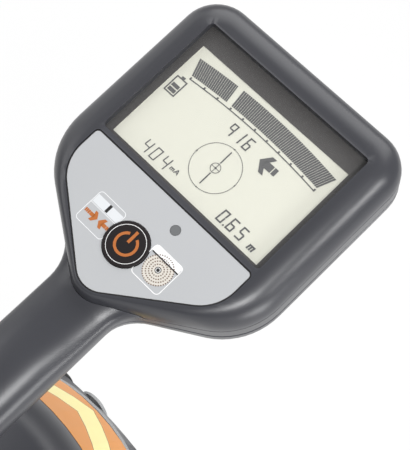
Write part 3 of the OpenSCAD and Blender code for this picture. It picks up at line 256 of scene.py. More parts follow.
# The case's sharp edges are painted paler, partly as worn plastic and partly as a painted highlight.
case_plastic = moulded("case_plastic", rgb(0.038, 0.039, 0.046), 0.33, wear_and_highlight=0.5)
black_plastic = moulded("black_plastic", rgb(0.012, 0.012, 0.013), 0.38)
key_black = moulded("key_black", rgb(0.009, 0.006, 0.007), 0.5, Specular_IOR_Level=0.3)
white_plastic = moulded("white_plastic", rgb(0.8, 0.8, 0.78), 0.5)
foot_plastic = moulded("foot_plastic", rgb(0.02, 0.02, 0.021), 0.55, grain=0.00003, scale=900.0)
seal_rubber = moulded("seal_rubber", rgb(0.3, 0.305, 0.31), 0.5, grain=SOFT_GRAIN)
dark_rubber = moulded("dark_rubber", rgb(0.016, 0.016, 0.017), 0.65, grain=SOFT_GRAIN)
board_green = moulded("board_green", rgb(0.015, 0.09, 0.03), 0.4, grain=SOFT_GRAIN)
ferrite_grey = moulded("ferrite_grey", rgb(0.03, 0.028, 0.028), 0.6)
steel = metal("screw_steel", rgb(0.62, 0.63, 0.65), 0.28)
copper = metal("coil_copper", rgb(0.7, 0.36, 0.16), 0.3)
silver_film = moulded(
    "silver_film", rgb(0.425, 0.434, 0.447), 0.48, grain=0.000004, scale=2600.0, tone=0.04
)
clear_sheet = Paint("clear_sheet").set(Base_Color=rgb(0.9, 0.92, 0.92), Roughness=0.04, Alpha=0.05)
print("materials so far:", len(bpy.data.materials))


# %% [markdown]
# Glass, sleeves and inks have no grain at all, so they share a shorter recipe.


# %% Smooth films and inks
def smooth(name, colour, rough, tone):
    """A finish without grain."""
    return moulded(name, colour, rough, grain=0.0, tone=tone)


mask_film = smooth("mask_film", rgb(0.022, 0.017, 0.016), 0.5, 0.06)
lcd_glass = smooth("lcd_glass", rgb(0.63, 0.626, 0.537), 0.5, 0.02)
sensor_grey = smooth("sensor_grey", rgb(0.14, 0.145, 0.15), 0.35, 0.12)
cell_sleeve = smooth("cell_sleeve", rgb(0.42, 0.26, 0.06), 0.3, 0.12)
lcd_ink = smooth("lcd_ink", rgb(0.034, 0.032, 0.034), 0.5, 0.12)
black_ink = smooth("black_ink", rgb(0.012, 0.011, 0.011), 0.45, 0.12)
orange_ink = smooth("orange_ink", rgb(0.42, 0.125, 0.025), 0.45, 0.05)
brown_ink = smooth("brown_ink", rgb(0.1, 0.045, 0.02), 0.5, 0.05)
beige_ink = smooth("beige_ink", rgb(0.62, 0.585, 0.53), 0.5, 0.03)
# A pale ink for the painted highlight along the left edge of the display's glass.
painted_glass_highlight = smooth("painted_glass_highlight", rgb(0.86, 0.86, 0.8), 0.3, 0.03)
pale_ink = smooth("pale_ink", rgb(0.74, 0.75, 0.76), 0.5, 0.03)
band_ink = smooth("band_ink", rgb(0.64, 0.66, 0.68), 0.5, 0.05)
white_ink = smooth("white_ink", rgb(0.82, 0.82, 0.82), 0.45, 0.03)
print("materials so far:", len(bpy.data.materials))

# %% [markdown]
# ## Finishes on the solids
# Each solid keeps its own mesh and only gets a finish. Pieces that hide inside the case get theirs
# too, because they show when the battery door is open or the model is taken apart.

# %% Dress the solids
FINISHES = {
    case_plastic: "head_bezel lower_housing handle_top body_upper body_lower battery_door "
    "blade_front blade_rear",
    black_plastic: "display_carrier power_key battery_box accessory_socket headphone_socket",
    steel: "handle_screws head_screws board_screws key_switch body_screws signal_screws battery_contacts "
    "door_contact door_pin blade_screws",
    seal_rubber: "body_seal accessory_cap",
    dark_rubber: "head_seal headphone_cap wiring_loom",
    foot_plastic: "blade_foot",
    silver_film: "keypad_overlay",
    mask_film: "display_mask",
    lcd_glass: "lcd_panel",
    white_plastic: "backlight",
    board_green: "display_board signal_board antenna_spine",
    ferrite_grey: "low_ferrite top_ferrite null_ferrite speaker",
    copper: "low_coil top_coil null_coil",
    sensor_grey: "light_sensor",
    cell_sleeve: "battery_cells",
    clear_sheet: "display_window",
}
for finish, names in FINISHES.items():
    for name in names.split():
        mesh = frame["nodes"][name].data
        mesh.materials.clear()
        mesh.materials.append(finish)
dressed = sum(len(names.split()) for names in FINISHES.values())
print("dressed:", dressed, "of", len(frame["nodes"]))

# %% [markdown]
# ## Helpers for modelling
# Blender's operators act on whatever is selected, and loading the frame leaves every solid selected.
# So each step first takes hold of one object alone.


# %% Taking hold and settling
def take(obj):
    """Selects this object alone."""
    bpy.ops.object.select_all(action="DESELECT")
    obj.select_set(True)
    bpy.context.view_layer.objects.active = obj


def settle(obj, name, body, finish):
    """Puts the piece's place into its mesh, names it and lets it ride on its body."""
    take(obj)
    bpy.ops.object.transform_apply(location=True, rotation=True, scale=True)
    obj.name = name
    obj.data.name = name
    obj.data.materials.clear()
    obj.data.materials.append(finish)
    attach(obj, body)
    print(name, len(obj.data.polygons), "faces")


# %% [markdown]
# ## Smooth mouldings
# The head, the handle, the body and the blade are lofted, so their solids have small flat facets.
# The real mouldings are smooth, and no edge on them is razor sharp. A copy of each is welded, its
# flat areas are dissolved into single faces, its hard edges get a small round where the mould has
# one, and then it is shaded smooth wherever two faces meet at a low angle.


# %% Copies of solids
WELD_GAP = 0.000004
FLAT_TURN = math.radians(0.2)
LOW_TURN = math.radians(32)


def weld(piece):
    """Merges the loose triangles of a copied solid and dissolves its flat areas."""
    take(piece)
    bpy.ops.object.mode_set(mode="EDIT")
    bpy.ops.mesh.select_all(action="SELECT")
    bpy.ops.mesh.remove_doubles(threshold=WELD_GAP)
    bpy.ops.mesh.dissolve_limited(angle_limit=FLAT_TURN)
    bpy.ops.object.mode_set(mode="OBJECT")
    bpy.ops.mesh.customdata_custom_splitnormals_clear()


def copy_solid(name):
    """A loose copy of a solid, ready for shaping."""
    take(frame["nodes"][name])
    bpy.ops.object.duplicate()
    piece = bpy.context.object
    bpy.ops.object.parent_clear(type="CLEAR_KEEP_TRANSFORM")
    weld(piece)
    return piece


def round_edges(piece, width, segments=2, angle=40.0):
    """Rounds every edge that turns by more than some degrees."""
    take(piece)
    bevel = piece.modifiers.new("edges", "BEVEL")
    bevel.width = width
    bevel.segments = segments
    bevel.limit_method = "ANGLE"
    bevel.angle_limit = math.radians(angle)
    bpy.ops.object.modifier_apply(modifier=bevel.name)


def smooth_copy(name, finish, body="locator", edge=0.0):
    """A smooth moulding in place of a faceted solid."""
    piece = copy_solid(name)
    if edge:
        round_edges(piece, edge)
    settle(piece, name + "_smooth", body, finish)
    bpy.ops.object.shade_smooth_by_angle(angle=LOW_TURN)
    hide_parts(name)


# %% [markdown]
# The big mouldings need no rounding of their own, since their rounds are in the solids. The door and
# the two caps are plainer, so their edges are eased here.

# %% Smooth mouldings
for name in ("lower_housing", "handle_top", "body_upper", "body_lower", "blade_front", "blade_rear"):
    smooth_copy(name, case_plastic)
smooth_copy("battery_door", case_plastic, body="battery_door_body", edge=0.0004)
smooth_copy("body_seal", seal_rubber)
smooth_copy("accessory_cap", seal_rubber, body="accessory_cap_body", edge=0.0003)
smooth_copy("headphone_cap", dark_rubber, body="headphone_cap_body", edge=0.0002)
smooth_copy("blade_foot", foot_plastic)

# %% [markdown]
# ## The bezel
# Round the display the bezel falls to the window in a narrow sloping edge, which catches the light all
# the way round. The edges of the opening are picked out by their height on the face and by how sharply
# they turn, and bevelled. The other edges of the bezel only lose their sharpness.

# %% Bezel with a sloping window edge
WINDOW_SLOPE = 0.0012
BEZEL_ROUND = 0.0003
OVERLAY_LINE = -29.0
ON_FACE = 0.05
SHARP_TURN = math.radians(60)
FLAT_OUT = FACE.inverted()

bezel = copy_solid("head_bezel")
take(bezel)
bpy.ops.object.mode_set(mode="EDIT")
bpy.ops.mesh.select_all(action="DESELECT")
bpy.ops.mesh.select_mode(type="EDGE")
shape = bmesh.from_edit_mesh(bezel.data)
rim = []
for line in shape.edges:
    ends = [FLAT_OUT @ vert.co for vert in line.verts]
    on_face = all(abs(end.z) < ON_FACE and end.y > OVERLAY_LINE for end in ends)
    if on_face and line.is_manifold and line.calc_face_angle() > SHARP_TURN:
        line.select_set(True)
        rim.append(line)
bmesh.update_edit_mesh(bezel.data)
print("edges round the window:", len(rim))
bpy.ops.mesh.bevel(offset=WINDOW_SLOPE, segments=4, profile=0.55, affect="EDGES", clamp_overlap=True)
bpy.ops.mesh.select_mode(type="FACE")
bpy.ops.object.mode_set(mode="OBJECT")
round_edges(bezel, BEZEL_ROUND, angle=50.0)
settle(bezel, "head_bezel_smooth", "locator", case_plastic)
bpy.ops.object.shade_smooth_by_angle(angle=LOW_TURN)
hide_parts("head_bezel")

# %% [markdown]
# ## Drawing flat prints
# The display's marks and the keypad's legends are flat patches of ink. Text objects or image textures
# could give them too, but plain patches stay sharp at any distance. A Drawing starts as an empty mesh
# on the drawing board. Each patch is a plane whose four corners are moved into place, and at the end
# the whole drawing is extruded to the thickness of a print.


# %% The Drawing helper
class Drawing:
    """Flat patches in millimetres on the face, which become one thin print."""

    def __init__(self):
        bpy.ops.object.select_all(action="DESELECT")
        bpy.ops.mesh.primitive_plane_add(size=1)
        self.obj = bpy.context.object
        bpy.ops.object.mode_set(mode="EDIT")
        bpy.ops.mesh.delete(type="VERT")

    def patch(self, *corners):
        """A patch with four corners, in order round it."""
        bpy.ops.mesh.select_all(action="DESELECT")
        bpy.ops.mesh.primitive_plane_add(size=1)
        flat = bmesh.from_edit_mesh(self.obj.data)
        flat.faces.ensure_lookup_table()
        for vert, corner in zip(flat.faces[-1].verts, corners):
            vert.co = (corner[0], corner[1], 0)
        bmesh.update_edit_mesh(self.obj.data)

    def bar(self, left, low, right, high):
        """An upright rectangle."""
        self.patch((left, low), (right, low), (right, high), (left, high))

    def stroke(self, start, end, width):
        """A straight line of some width."""
        start, end = Vector(start), Vector(end)
        along = (end - start).normalized()
        side = Vector((-along.y, along.x)) * width / 2
        self.patch(start - side, end - side, end + side, start + side)

    def path(self, points, width):
        """A line through several points."""
        for start, end in zip(points, points[1:]):
            self.stroke(start, end, width)

    def ring(self, centre, radius, width, steps=48, share=1.0, start=0.0, sweep=360.0):
        """A ring of short patches. A share below one leaves gaps between them."""
        step = math.radians(sweep) / steps
        inner, outer = radius - width / 2, radius + width / 2
        for k in range(steps):
            a = math.radians(start) + k * step
            b = a + step * share
            self.patch(*(
                (centre[0] + r * math.cos(t), centre[1] + r * math.sin(t))
                for r, t in ((inner, a), (outer, a), (outer, b), (inner, b))
            ))

    def frame(self, left, low, right, high, corner, width):
        """The outline of a rectangle with round corners."""
        half = width / 2
        self.bar(left + corner, high - half, right - corner, high + half)
        self.bar(left + corner, low - half, right - corner, low + half)
        self.bar(left - half, low + corner, left + half, high - corner)
        self.bar(right - half, low + corner, right + half, high - corner)
        for x, y, start in (
            (right - corner, high - corner, 0), (left + corner, high - corner, 90),
            (left + corner, low + corner, 180), (right - corner, low + corner, 270),
        ):
            self.ring((x, y), corner, width, steps=6, start=start, sweep=90)

    def finish(self, name, body, finish, slot, low, high):
        """Extrudes the drawing from one height over the face to another and tilts it into place."""
        bpy.ops.mesh.select_all(action="SELECT")
        bpy.ops.mesh.normals_make_consistent(inside=False)
        bpy.ops.mesh.extrude_region_move(TRANSFORM_OT_translate={"value": (0, 0, high - low)})
        bpy.ops.mesh.select_all(action="SELECT")
        bpy.ops.mesh.normals_make_consistent(inside=False)
        bpy.ops.object.mode_set(mode="OBJECT")
        self.obj.matrix_world = FACE @ Matrix.Translation((0, 0, low))
        settle(self.obj, name, body, finish)


# %% [markdown]
# ## The display
# A liquid-crystal display shows dark segments on pale glass. This one has a fan-shaped bar graph along
# its top, a scale below that, a battery, readings in seven-segment figures, an arrow towards the cable
# and a round compass. The glass lies behind a clear window, so the marks fill the narrow gap between.

# %% Bar graph and scale
GLASS_LOW, GLASS_HIGH = -5.59, -5.45
# Each edge of the fan: its middle, half its width, its height there and how far it bows down.
FAN_TOP = (0.85, 40.95, 24.9, 0.0016)
FAN_LOW = (0.75, 37.65, 16.0, 0.00145)
FAN_SPANS = ((-1.005, -0.4785), (-0.4007, 1.0025))
BOW_MIDDLE = 1
BAR_PITCH = 1.1 / FAN_TOP[1]
BAR_SHARE = 0.8


def bowed(x, height, bow):
    """A point on a line that bows down towards both ends."""
    return x, height - bow * (x - BOW_MIDDLE) ** 2


def fan_point(turn, middle, half, height, bow):
    """A point on an edge of the fan: turn runs from -1 at its left end to 1 at its right."""
    return bowed(middle + half * turn, height, bow)


marks = Drawing()
bars = 0
for start, end in FAN_SPANS:
    left = start
    while left < end - BAR_PITCH * 0.5:
        right = min(end, left + BAR_PITCH * BAR_SHARE)
        marks.patch(
            fan_point(left, *FAN_LOW), fan_point(right, *FAN_LOW),
            fan_point(right, *FAN_TOP), fan_point(left, *FAN_TOP),
        )
        left += BAR_PITCH
        bars += 1

SCALE = (14.2, 0.00145)
SCALE_LEFT, SCALE_WIDTH, SCALE_STEPS, SCALE_LINE = -36.9, 75.3, 24, 0.5
SCALE_TICKS = (-36.5, -28.75, -21.25, -13.75, -6.4, 0.83, 8.1, 15.4, 22.75, 30.2, 38.0)
TICK_HALF, TICK_HIGH = 0.4, 1.1
spots = [SCALE_LEFT + SCALE_WIDTH * k / SCALE_STEPS for k in range(SCALE_STEPS + 1)]
marks.path([bowed(x, *SCALE) for x in spots], SCALE_LINE)
for x in SCALE_TICKS:
    foot = bowed(x, *SCALE)[1]
    marks.bar(x - TICK_HALF, foot, x + TICK_HALF, foot + TICK_HIGH)
print("bars:", bars, "ticks:", len(SCALE_TICKS))

# %% [markdown]
# Seven segments make every figure. A figure is drawn upright and leant over by moving each point
# sideways in step with its height.

# %% Figures and letters
SEGMENTS = {"0": "abcdef", "1": "bc", "4": "bcfg", "5": "acdfg", "6": "acdefg", "9": "abcfg"}


def figure(ink, char, left, low, width, height, stroke, lean):
    """One figure, leaning to the right."""
    gap = stroke * 0.12
    middle = height / 2
    half = stroke / 2
    spans = {
        "a": (gap, height - stroke, width - gap, height),
        "b": (width - stroke, middle + gap, width, height - gap),
        "c": (width - stroke, gap, width, middle - gap),
        "d": (gap, 0, width - gap, stroke),
        "e": (0, gap, stroke, middle - gap),
        "f": (0, middle + gap, stroke, height - gap),
        "g": (gap + half, middle - half, width - gap - half, middle + half),
    }
    for segment in SEGMENTS[char]:
        x0, y0, x1, y1 = spans[segment]
        ink.patch(*((left + x + y * lean, low + y) for x, y in ((x0, y0), (x1, y0), (x1, y1), (x0, y1))))


def letter_m(ink, left, low, width, height, stroke, lean):
    """A small m: three legs under one bar."""
    for share in (0, 0.5, 1):
        x = left + share * (width - stroke) + stroke / 2
        ink.stroke((x, low), (x + height * lean, low + height), stroke)
    top = low + height - stroke / 2
    shift = (height - stroke / 2) * lean
    ink.stroke((left + shift, top), (left + width + shift, top), stroke)


def letter_a(ink, left, low, width, height, stroke):
    """A capital A: two legs and a bar."""
    peak = (left + width * 0.6, low + height)
    waist = low + height * 0.35
    ink.stroke((left, low), peak, stroke)
    ink.stroke((left + width, low), peak, stroke)
    ink.stroke((left + width * 0.25, waist), (left + width * 0.9, waist), stroke)


# %% [markdown]
# The locator shows a signal strength in the middle, a current in milliamperes at the left and a depth
# in metres at the right.

# %% Readings
LEAN = math.tan(math.radians(6))
# Each reading: its figures and where each starts, then its foot, width, height and stroke.
READINGS = (
    ((("9", -8.2), ("1", -3.3), ("6", 1.75)), 4.95, 3.0, 6.25, 0.65),
    ((("4", -29.4), ("0", -24.0), ("4", -18.2)), -25.4, 3.3, 6.2, 0.5),
    ((("0", 16.7), ("6", 22.3), ("5", 27.8)), -25.25, 3.3, 6.25, 0.72),
)
for figures, low, width, height, stroke in READINGS:
    for char, left in figures:
        figure(marks, char, left, low, width, height, stroke, LEAN)
DECIMAL_POINT = (21.0, -25.25, 21.7, -24.5)
marks.bar(*DECIMAL_POINT)
letter_m(marks, -13.2, -23.1, 2.1, 1.5, 0.42, LEAN)
letter_a(marks, -10.6, -23.1, 2.0, 2.3, 0.42)
letter_m(marks, 34.9, -25.25, 3.2, 2.6, 0.8, 0.2)
print("readings:", len(READINGS))

# %% [markdown]
# The battery, the arrow and the compass finish the display. The compass ring is broken into dashes,
# as the segments of such a display are.

# %% Battery, arrow and compass
BATTERY = (
    (-41.9, 1.1, -41.3, 10.0), (-36.3, 1.1, -35.7, 10.0),
    (-41.9, 1.1, -35.7, 1.7), (-41.9, 9.4, -35.7, 10.0),
    (-39.8, 10.0, -37.9, 11.1), (-40.8, 4.7, -36.8, 6.5), (-40.8, 2.25, -36.8, 4.1),
)
for bar in BATTERY:
    marks.bar(*bar)

ARROW_TIP, ARROW_NOTCH = (11.8, 6.7), (14.6, 6.7)
ARROW_SHAFT = ((14.2, 5.0, 19.0, 8.5), (19.5, 5.0, 21.4, 8.5))
marks.patch(ARROW_TIP, ARROW_NOTCH, (17.7, 11.2), (15.2, 11.2))
marks.patch(ARROW_TIP, (15.2, 2.1), (17.7, 2.1), ARROW_NOTCH)
for bar in ARROW_SHAFT:
    marks.bar(*bar)

COMPASS = Vector((1.0, -9.2))
COMPASS_R, HUB_R, CROSS_R = 11.55, 2.3, 2.1
KNOT_HALF, DOT_R = 0.3, 0.5
NEEDLES = ((9.8, 2.95), (-2.9, -9.55))
marks.ring(COMPASS, COMPASS_R, 0.3, steps=90, share=0.72)
marks.ring(COMPASS, HUB_R, 0.28, steps=30, share=0.85)
across, upward = Vector((1, 0)), Vector((0, 1))
for way in (across, upward, -across, -upward):
    knot = COMPASS + way * COMPASS_R
    marks.bar(knot.x - KNOT_HALF, knot.y - KNOT_HALF, knot.x + KNOT_HALF, knot.y + KNOT_HALF)
for high, low in NEEDLES:
    marks.stroke(COMPASS + upward * high, COMPASS + upward * low, 0.55)
marks.stroke(COMPASS - across * CROSS_R, COMPASS + across * CROSS_R, 0.25)
marks.stroke(COMPASS - upward * CROSS_R, COMPASS + upward * CROSS_R, 0.25)
marks.ring(COMPASS, DOT_R / 2, DOT_R, steps=8)
marks.finish("display_marks", "locator", lcd_ink, "lcd", GLASS_LOW, GLASS_HIGH)

# %% [markdown]
# ## A painted highlight on the glass edge
# The left edge of the display's glass catches the light and shows as a bright line. That highlight
# is painted: one narrow pale strip, printed like the marks.

# %% Painted highlight on the glass edge
# The strip of painted highlight along the glass's left edge.
GLASS_EDGE_HIGHLIGHT = (-44.3, -27.0, -43.6, 27.4)
edge = Drawing()
edge.bar(*GLASS_EDGE_HIGHLIGHT)
edge.finish("glass_edge_highlight", "locator", painted_glass_highlight, "lcd", GLASS_LOW, GLASS_HIGH)

# %% [markdown]
# ## The keypad film
# A silver film with printed legends covers the lower half of the face. A thin black line runs round
# its edge: partly print, partly painted shade of the gap between the film and the bezel. The copy of the
# film gets that line by insetting its top face: the narrow ring that appears between the old outline and
# the new one takes black ink. The holes for the key and the light sensor stay plain.

# %% Film with an edge line of print and painted shade
FACE_UP = FACE.to_3x3().normalized().col[2]
LOOKS_UP = 0.99
# Width of the black edge ring, which is partly print and partly painted shade of the gap.
FILM_INK_AND_GAP_SHADE = 0.00055
KEY_CENTRE = (0.0, -59.7)
SENSOR_CENTRE = (10.3, -41.2)
PLAIN_HOLES = ((Vector(KEY_CENTRE), 12.0), (Vector(SENSOR_CENTRE), 4.0))


def faces_up(shape):
    """The faces that look straight out of the head."""
    return [face for face in shape.faces if face.normal.dot(FACE_UP) > LOOKS_UP]


film = copy_solid("keypad_overlay")
settle(film, "keypad_film", "locator", silver_film)
film.data.materials.append(black_ink)
before = len(film.data.polygons)
bpy.ops.object.mode_set(mode="EDIT")
bpy.ops.mesh.select_all(action="DESELECT")
shape = bmesh.from_edit_mesh(film.data)
for face in faces_up(shape):
    face.select_set(True)
bmesh.update_edit_mesh(film.data)
# The ring made here takes black ink: partly print, partly painted shade of the gap at the film's edge.
bpy.ops.mesh.inset(thickness=FILM_INK_AND_GAP_SHADE, use_boundary=True, use_even_offset=True)
bpy.ops.mesh.select_all(action="INVERT")
shape = bmesh.from_edit_mesh(film.data)
for face in shape.faces:
    spot = FLAT_OUT @ face.calc_center_median()
    if any((spot.xy - hole).length < reach for hole, reach in PLAIN_HOLES):
        face.select_set(False)
bmesh.update_edit_mesh(film.data)
film.active_material_index = 1
bpy.ops.object.material_slot_assign()
bpy.ops.object.mode_set(mode="OBJECT")
bpy.ops.object.shade_smooth_by_angle(angle=math.radians(30))
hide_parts("keypad_overlay")
print("film faces:", before, "then", len(film.data.polygons))

# %% [markdown]
# ## The power key
# The key is a black button that stands a little proud of the film. Its rim is rounded and its top is
# slightly dished to lead a finger to the middle. The copy of the solid key gets both: its top face is
# inset three times, each ring a little lower, and the rim is bevelled. Its ring and symbol are printed
# on top and travel with it.

# %% Key with a dished top
KEY_ROUND = 0.0005
KEY_DISH = ((0.0006, 0.00003), (0.0025, 0.00005), (0.003, 0.00003))

key = copy_solid("power_key")
round_edges(key, KEY_ROUND, segments=3)
take(key)
bpy.ops.object.mode_set(mode="EDIT")
bpy.ops.mesh.select_all(action="DESELECT")
shape = bmesh.from_edit_mesh(key.data)
top_face = max(faces_up(shape), key=lambda face: face.calc_center_median().dot(FACE_UP))
top_face.select_set(True)
bmesh.update_edit_mesh(key.data)
for step, drop in KEY_DISH:
    bpy.ops.mesh.inset(thickness=step, depth=-drop)
bpy.ops.object.mode_set(mode="OBJECT")
settle(key, "power_key_button", "power_key_body", key_black)
bpy.ops.object.shade_smooth_by_angle(angle=math.radians(35))
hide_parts("power_key")

# %% [markdown]
# The ring and the symbol sink a little into the dish, so that no gap opens below them.

# %% Ring and power symbol
KEY_INK_TOP = 0.38
RING_LOW, SYMBOL_LOW = 0.25, 0.2

white_ring = Drawing()
white_ring.ring(KEY_CENTRE, 8.6, 0.24, steps=72)
white_ring.finish("key_ring", "power_key_body", white_ink, "overlay", RING_LOW, KEY_INK_TOP)
symbol = Drawing()
symbol.ring(KEY_CENTRE, 4.83, 1.25, steps=60, start=116, sweep=308)
symbol.bar(-0.68, -58.75, 0.68, -52.7)
symbol.finish("key_symbol", "power_key_body", orange_ink, "overlay", SYMBOL_LOW, KEY_INK_TOP)

# %% [markdown]
# ## Printed legends
# Two legends sit beside the key. The left one shows a mark between two arrows, for a peak under the
# locator. The right one shows rings round a buried line with the ground above it. They are printed in
# layers, each a little higher than the one below, as screen printing does.

# %% Left legend
FILM_TOP = -0.3
INK_ROOT, INK_TOP, INK_STEP = 0.04, 0.03, 0.012


def print_layer(ink, name, finish, count):
    """Prints a drawing on the film. A higher count lies higher in the stack of layers."""
    low, high = FILM_TOP - INK_ROOT, FILM_TOP + INK_TOP + INK_STEP * count
    ink.finish(name, "locator", finish, "overlay", low, high)


pale = Drawing()
pale.frame(-24.7, -66.25, -9.1, -50.5, 1.7, 0.3)
pale.bar(-24.5, -57.0, -9.3, -56.75)
print_layer(pale, "left_frame", pale_ink, 1)
band = Drawing()
band.bar(-24.4, -56.45, -9.4, -52.35)
print_layer(band, "left_band", band_ink, 0)
mark = Drawing()
mark.bar(-17.3, -56.15, -15.9, -52.3)
print_layer(mark, "left_mark", black_ink, 1)

# %% [markdown]
# The two arrows point at each other. One function draws both, measuring back from the tip.

# %% Arrows of the left legend
ARROW_Y = -60.7
BARB_UP, SHAFT_HALF = 2.4, 0.85
SHAFT_SPANS = ((2.0, 4.4), (4.55, 5.5), (5.65, 6.35), (6.5, 7.2))


def arrow(ink, tip, sign):
    """A barbed arrow whose shaft breaks into dashes. The sign says which way it points."""

    def at(back, up):
        return tip - sign * back, ARROW_Y + up

    for up in (BARB_UP, -BARB_UP):
        ink.patch(at(0, 0), at(2.35, 0), at(3.15, up), at(1.75, up))
    for near, far in SHAFT_SPANS:
        ink.patch(at(near, -SHAFT_HALF), at(far, -SHAFT_HALF), at(far, SHAFT_HALF), at(near, SHAFT_HALF))


arrows = Drawing()
arrow(arrows, -16.7, 1)
arrow(arrows, -15.95, -1)
print_layer(arrows, "left_arrows", orange_ink, 1)

# %% [markdown]
# The buried line is seen end on, with rings of dots round it in a disc of soil.

# %% Right legend
LINE_CENTRE = (17.5, -58.1)
SOIL_BAND = 1.7
SOIL_RINGS = (0.85, 2.55, 4.25, 5.95)
DOT_RINGS = ((6.6, 40), (5.2, 32), (3.9, 24), (2.6, 16))
LINE_R = 1.45

sky = Drawing()
sky.bar(9.4, -53.5, 24.5, -50.5)
print_layer(sky, "right_sky", white_ink, 1)
soil = Drawing()
for radius in SOIL_RINGS:
    soil.ring(LINE_CENTRE, radius, SOIL_BAND, steps=40)
print_layer(soil, "right_soil", beige_ink, 0)
right_frame = Drawing()
right_frame.frame(9.1, -66.1, 24.95, -50.3, 1.8, 0.35)
print_layer(right_frame, "right_frame", white_ink, 2)
dots = Drawing()
for radius, count in DOT_RINGS:
    dots.ring(LINE_CENTRE, radius, 0.52, steps=count, share=0.48)
print_layer(dots, "right_dots", brown_ink, 3)
ground_line = Drawing()
ground_line.bar(9.9, -54.05, 24.7, -53.45)
ground_line.ring(LINE_CENTRE, LINE_R / 2, LINE_R, steps=24)
print_layer(ground_line, "right_line", black_ink, 3)
halo = Drawing()
halo.ring(LINE_CENTRE, 0.95, 0.25, steps=24)
print_layer(halo, "right_halo", white_ink, 4)

# %% [markdown]
# ## The stripes on the nose
# A printed film in orange and yellow wraps the sloping nose of the body. The film starts as a flat
# grid over the slope. A Shrinkwrap modifier lays it on the moulding and a Solidify modifier gives it
# its thickness. Its stripes are worked out from where each point lies: how far up the slope, less a
# share of how far it is from the middle, which makes a wide V.

# %% Stripe colours
NOSE_SLOPE = math.radians(38.3)
NOSE_FOOT = Vector((0, 0.0145, 0.4170))
STRIPE_LEAN = 0.7
STRIPE_EDGES = (0.0078, 0.0335)
LINE_HALF = 0.00035
ORANGE, YELLOW = rgb(0.69, 0.26, 0.04), rgb(0.9, 0.82, 0.36)
DARK_LINE, FADED = rgb(0.12, 0.07, 0.05), rgb(0.8, 0.6, 0.35)

stripes = Paint("stripe_film", Specular_IOR_Level=0.25)
aside = stripes.math("ABSOLUTE", stripes.node("ShaderNodeSeparateXYZ", None, {0: stripes.place}, out="X"))
height = stripes.node("ShaderNodeSeparateXYZ", None, {0: stripes.place}, out="Z")
climb = (height - NOSE_FOOT.z) * (1 / math.cos(NOSE_SLOPE)) - aside * STRIPE_LEAN
colour = stripes.between((climb > STRIPE_EDGES[0]) * (climb < STRIPE_EDGES[1]), ORANGE, YELLOW)
for level in STRIPE_EDGES:
    line = stripes.math("ABSOLUTE", climb - level) < LINE_HALF
    colour = stripes.between(line, colour, DARK_LINE)
worn = stripes.noise(60.0, 4.0)
colour = stripes.between(worn * 0.08, colour, FADED)
stripe_film = stripes.set(Base_Color=colour, Roughness=0.28 + worn * 0.2)

# %% [markdown]
# The grid is laid out just above the slope, wrapped onto the moulding and thickened.

# %% Stripe film on the nose
STRIPE_LOW, STRIPE_HIGH, STRIPE_HALF = 0.0025, 0.068, 0.046
FILM_START, FILM_LIFT, FILM_THICK = 0.02, 0.00012, 0.0001

bpy.ops.object.select_all(action="DESELECT")
bpy.ops.mesh.primitive_grid_add(x_subdivisions=64, y_subdivisions=48, size=1)
stripe = bpy.context.object
up_slope = Vector((0, -math.sin(NOSE_SLOPE), math.cos(NOSE_SLOPE)))
out_slope = Vector((0, math.cos(NOSE_SLOPE), math.sin(NOSE_SLOPE)))
lay = Matrix((up_slope.cross(out_slope), up_slope, out_slope)).transposed().to_4x4()
middle = NOSE_FOOT + up_slope * (STRIPE_LOW + STRIPE_HIGH) / 2 + out_slope * FILM_START
size = Matrix.Diagonal((2 * STRIPE_HALF, STRIPE_HIGH - STRIPE_LOW, 1, 1))
stripe.matrix_world = Matrix.Translation(middle) @ lay @ size
take(stripe)
bpy.ops.object.transform_apply(location=True, rotation=True, scale=True)
wrap = stripe.modifiers.new("wrap", "SHRINKWRAP")
wrap.target = bpy.data.objects["body_upper_smooth"]
wrap.wrap_method = "NEAREST_SURFACEPOINT"
wrap.offset = FILM_LIFT
bpy.ops.object.modifier_apply(modifier=wrap.name)
skin = stripe.modifiers.new("skin", "SOLIDIFY")
skin.thickness = FILM_THICK
skin.offset = 0
bpy.ops.object.modifier_apply(modifier=skin.name)
settle(stripe, "nose_stripes", "locator", stripe_film)
bpy.ops.object.shade_smooth_by_angle(angle=math.radians(40))

# %% [markdown]
# ## The studio
# The catalogue picture has a pure white ground. The floor stays a real pale surface that takes the
# locator's shadow, and for the camera most of it is replaced by plain white light.

# %% Floor
WHITE = rgb(1, 1, 1)
FLOOR_SIZE = 12
GLOW_SHARE = 0.88


def plain_sight(paint):
    """One for rays that come straight from the camera, off a mirror or through glass."""
    kinds = ("Camera", "Glossy", "Transmission")
    rays = [paint.node("ShaderNodeLightPath", out=f"Is {kind} Ray") for kind in kinds]
    return paint.math("MINIMUM", rays[0] + rays[1] + rays[2], 1.0)


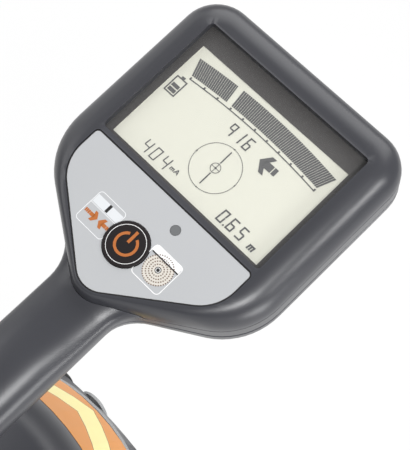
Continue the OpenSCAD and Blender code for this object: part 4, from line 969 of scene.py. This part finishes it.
bpy.ops.object.select_all(action="DESELECT")
bpy.ops.mesh.primitive_plane_add(size=FLOOR_SIZE)
floor = bpy.context.object
floor.name = "floor"
ground = Paint("ground", Base_Color=rgb(0.85, 0.85, 0.85), Roughness=0.8)
glow = ground.node("ShaderNodeEmission", None, {"Color": WHITE, "Strength": 1.0})
lit = Wire(ground, ground.shader.outputs[0])
mixed = ground.node("ShaderNodeMixShader", None, {0: plain_sight(ground) * GLOW_SHARE, 1: lit, 2: glow})
ground.feed(ground.tree.nodes["Material Output"].inputs["Surface"], mixed)
floor.data.materials.append(ground.block)
print("floor:", FLOOR_SIZE, "m wide")

# %% [markdown]
# The world's graph is painted the same way: a dim white that lights the locator, and plain white
# where the camera looks past the floor.


# %% World
class Sky(Paint):
    """The world in the making."""

    def __init__(self, name, **constants):
        self.open(bpy.data.worlds.new(name), "Background", constants)


SKY_LIGHT = 0.35
studio = Sky("studio", Color=WHITE, Strength=SKY_LIGHT)
sky_light = Wire(studio, studio.shader.outputs[0])
sky_seen = studio.node("ShaderNodeBackground", None, {"Color": WHITE, "Strength": 1.0})
seen = studio.node("ShaderNodeLightPath", out="Is Camera Ray")
mixed = studio.node("ShaderNodeMixShader", None, {0: seen, 1: sky_light, 2: sky_seen})
studio.feed(studio.tree.nodes["World Output"].inputs["Surface"], mixed)
bpy.context.scene.world = studio.block
print("world light:", SKY_LIGHT)

# %% [markdown]
# Six soft boxes give the highlights. The key light draws the line along the handle, the right light
# the one along the head's right edge, and the broad one behind brightens the far edge of the head.
# The others lift the sides that turn away.


# %% Lamps
def softbox(name, place, aim_height, width, height, power):
    """A rectangular lamp that looks at the middle of the locator at some height."""
    bpy.ops.object.light_add(type="AREA", location=place)
    lamp = bpy.context.object
    lamp.name = name
    lamp.data.shape = "RECTANGLE"
    lamp.data.size = width
    lamp.data.size_y = height
    lamp.data.energy = power
    look = Vector((0, 0, aim_height)) - Vector(place)
    lamp.rotation_euler = look.to_track_quat("-Z", "Y").to_euler()
    print(name, power, "W")


softbox("key_light", (0.82, -0.64, 1.70), 0.6, 0.45, 0.45, 15)
softbox("right_light", (1.2, 0.2, 1.38), 0.6, 0.35, 0.35, 6.5)
softbox("back_light", (-0.4, 1.0, 1.65), 0.6, 1.9, 1.25, 19)
softbox("left_light", (-1.3, 0.15, 0.95), 0.6, 1.0, 0.9, 2.5)
softbox("fill_light", (-1.3, -0.9, 1.6), 0.6, 1.0, 1.0, 7)
softbox("side_light", (1.3, -0.1, 0.45), 0.55, 0.5, 0.5, 6)
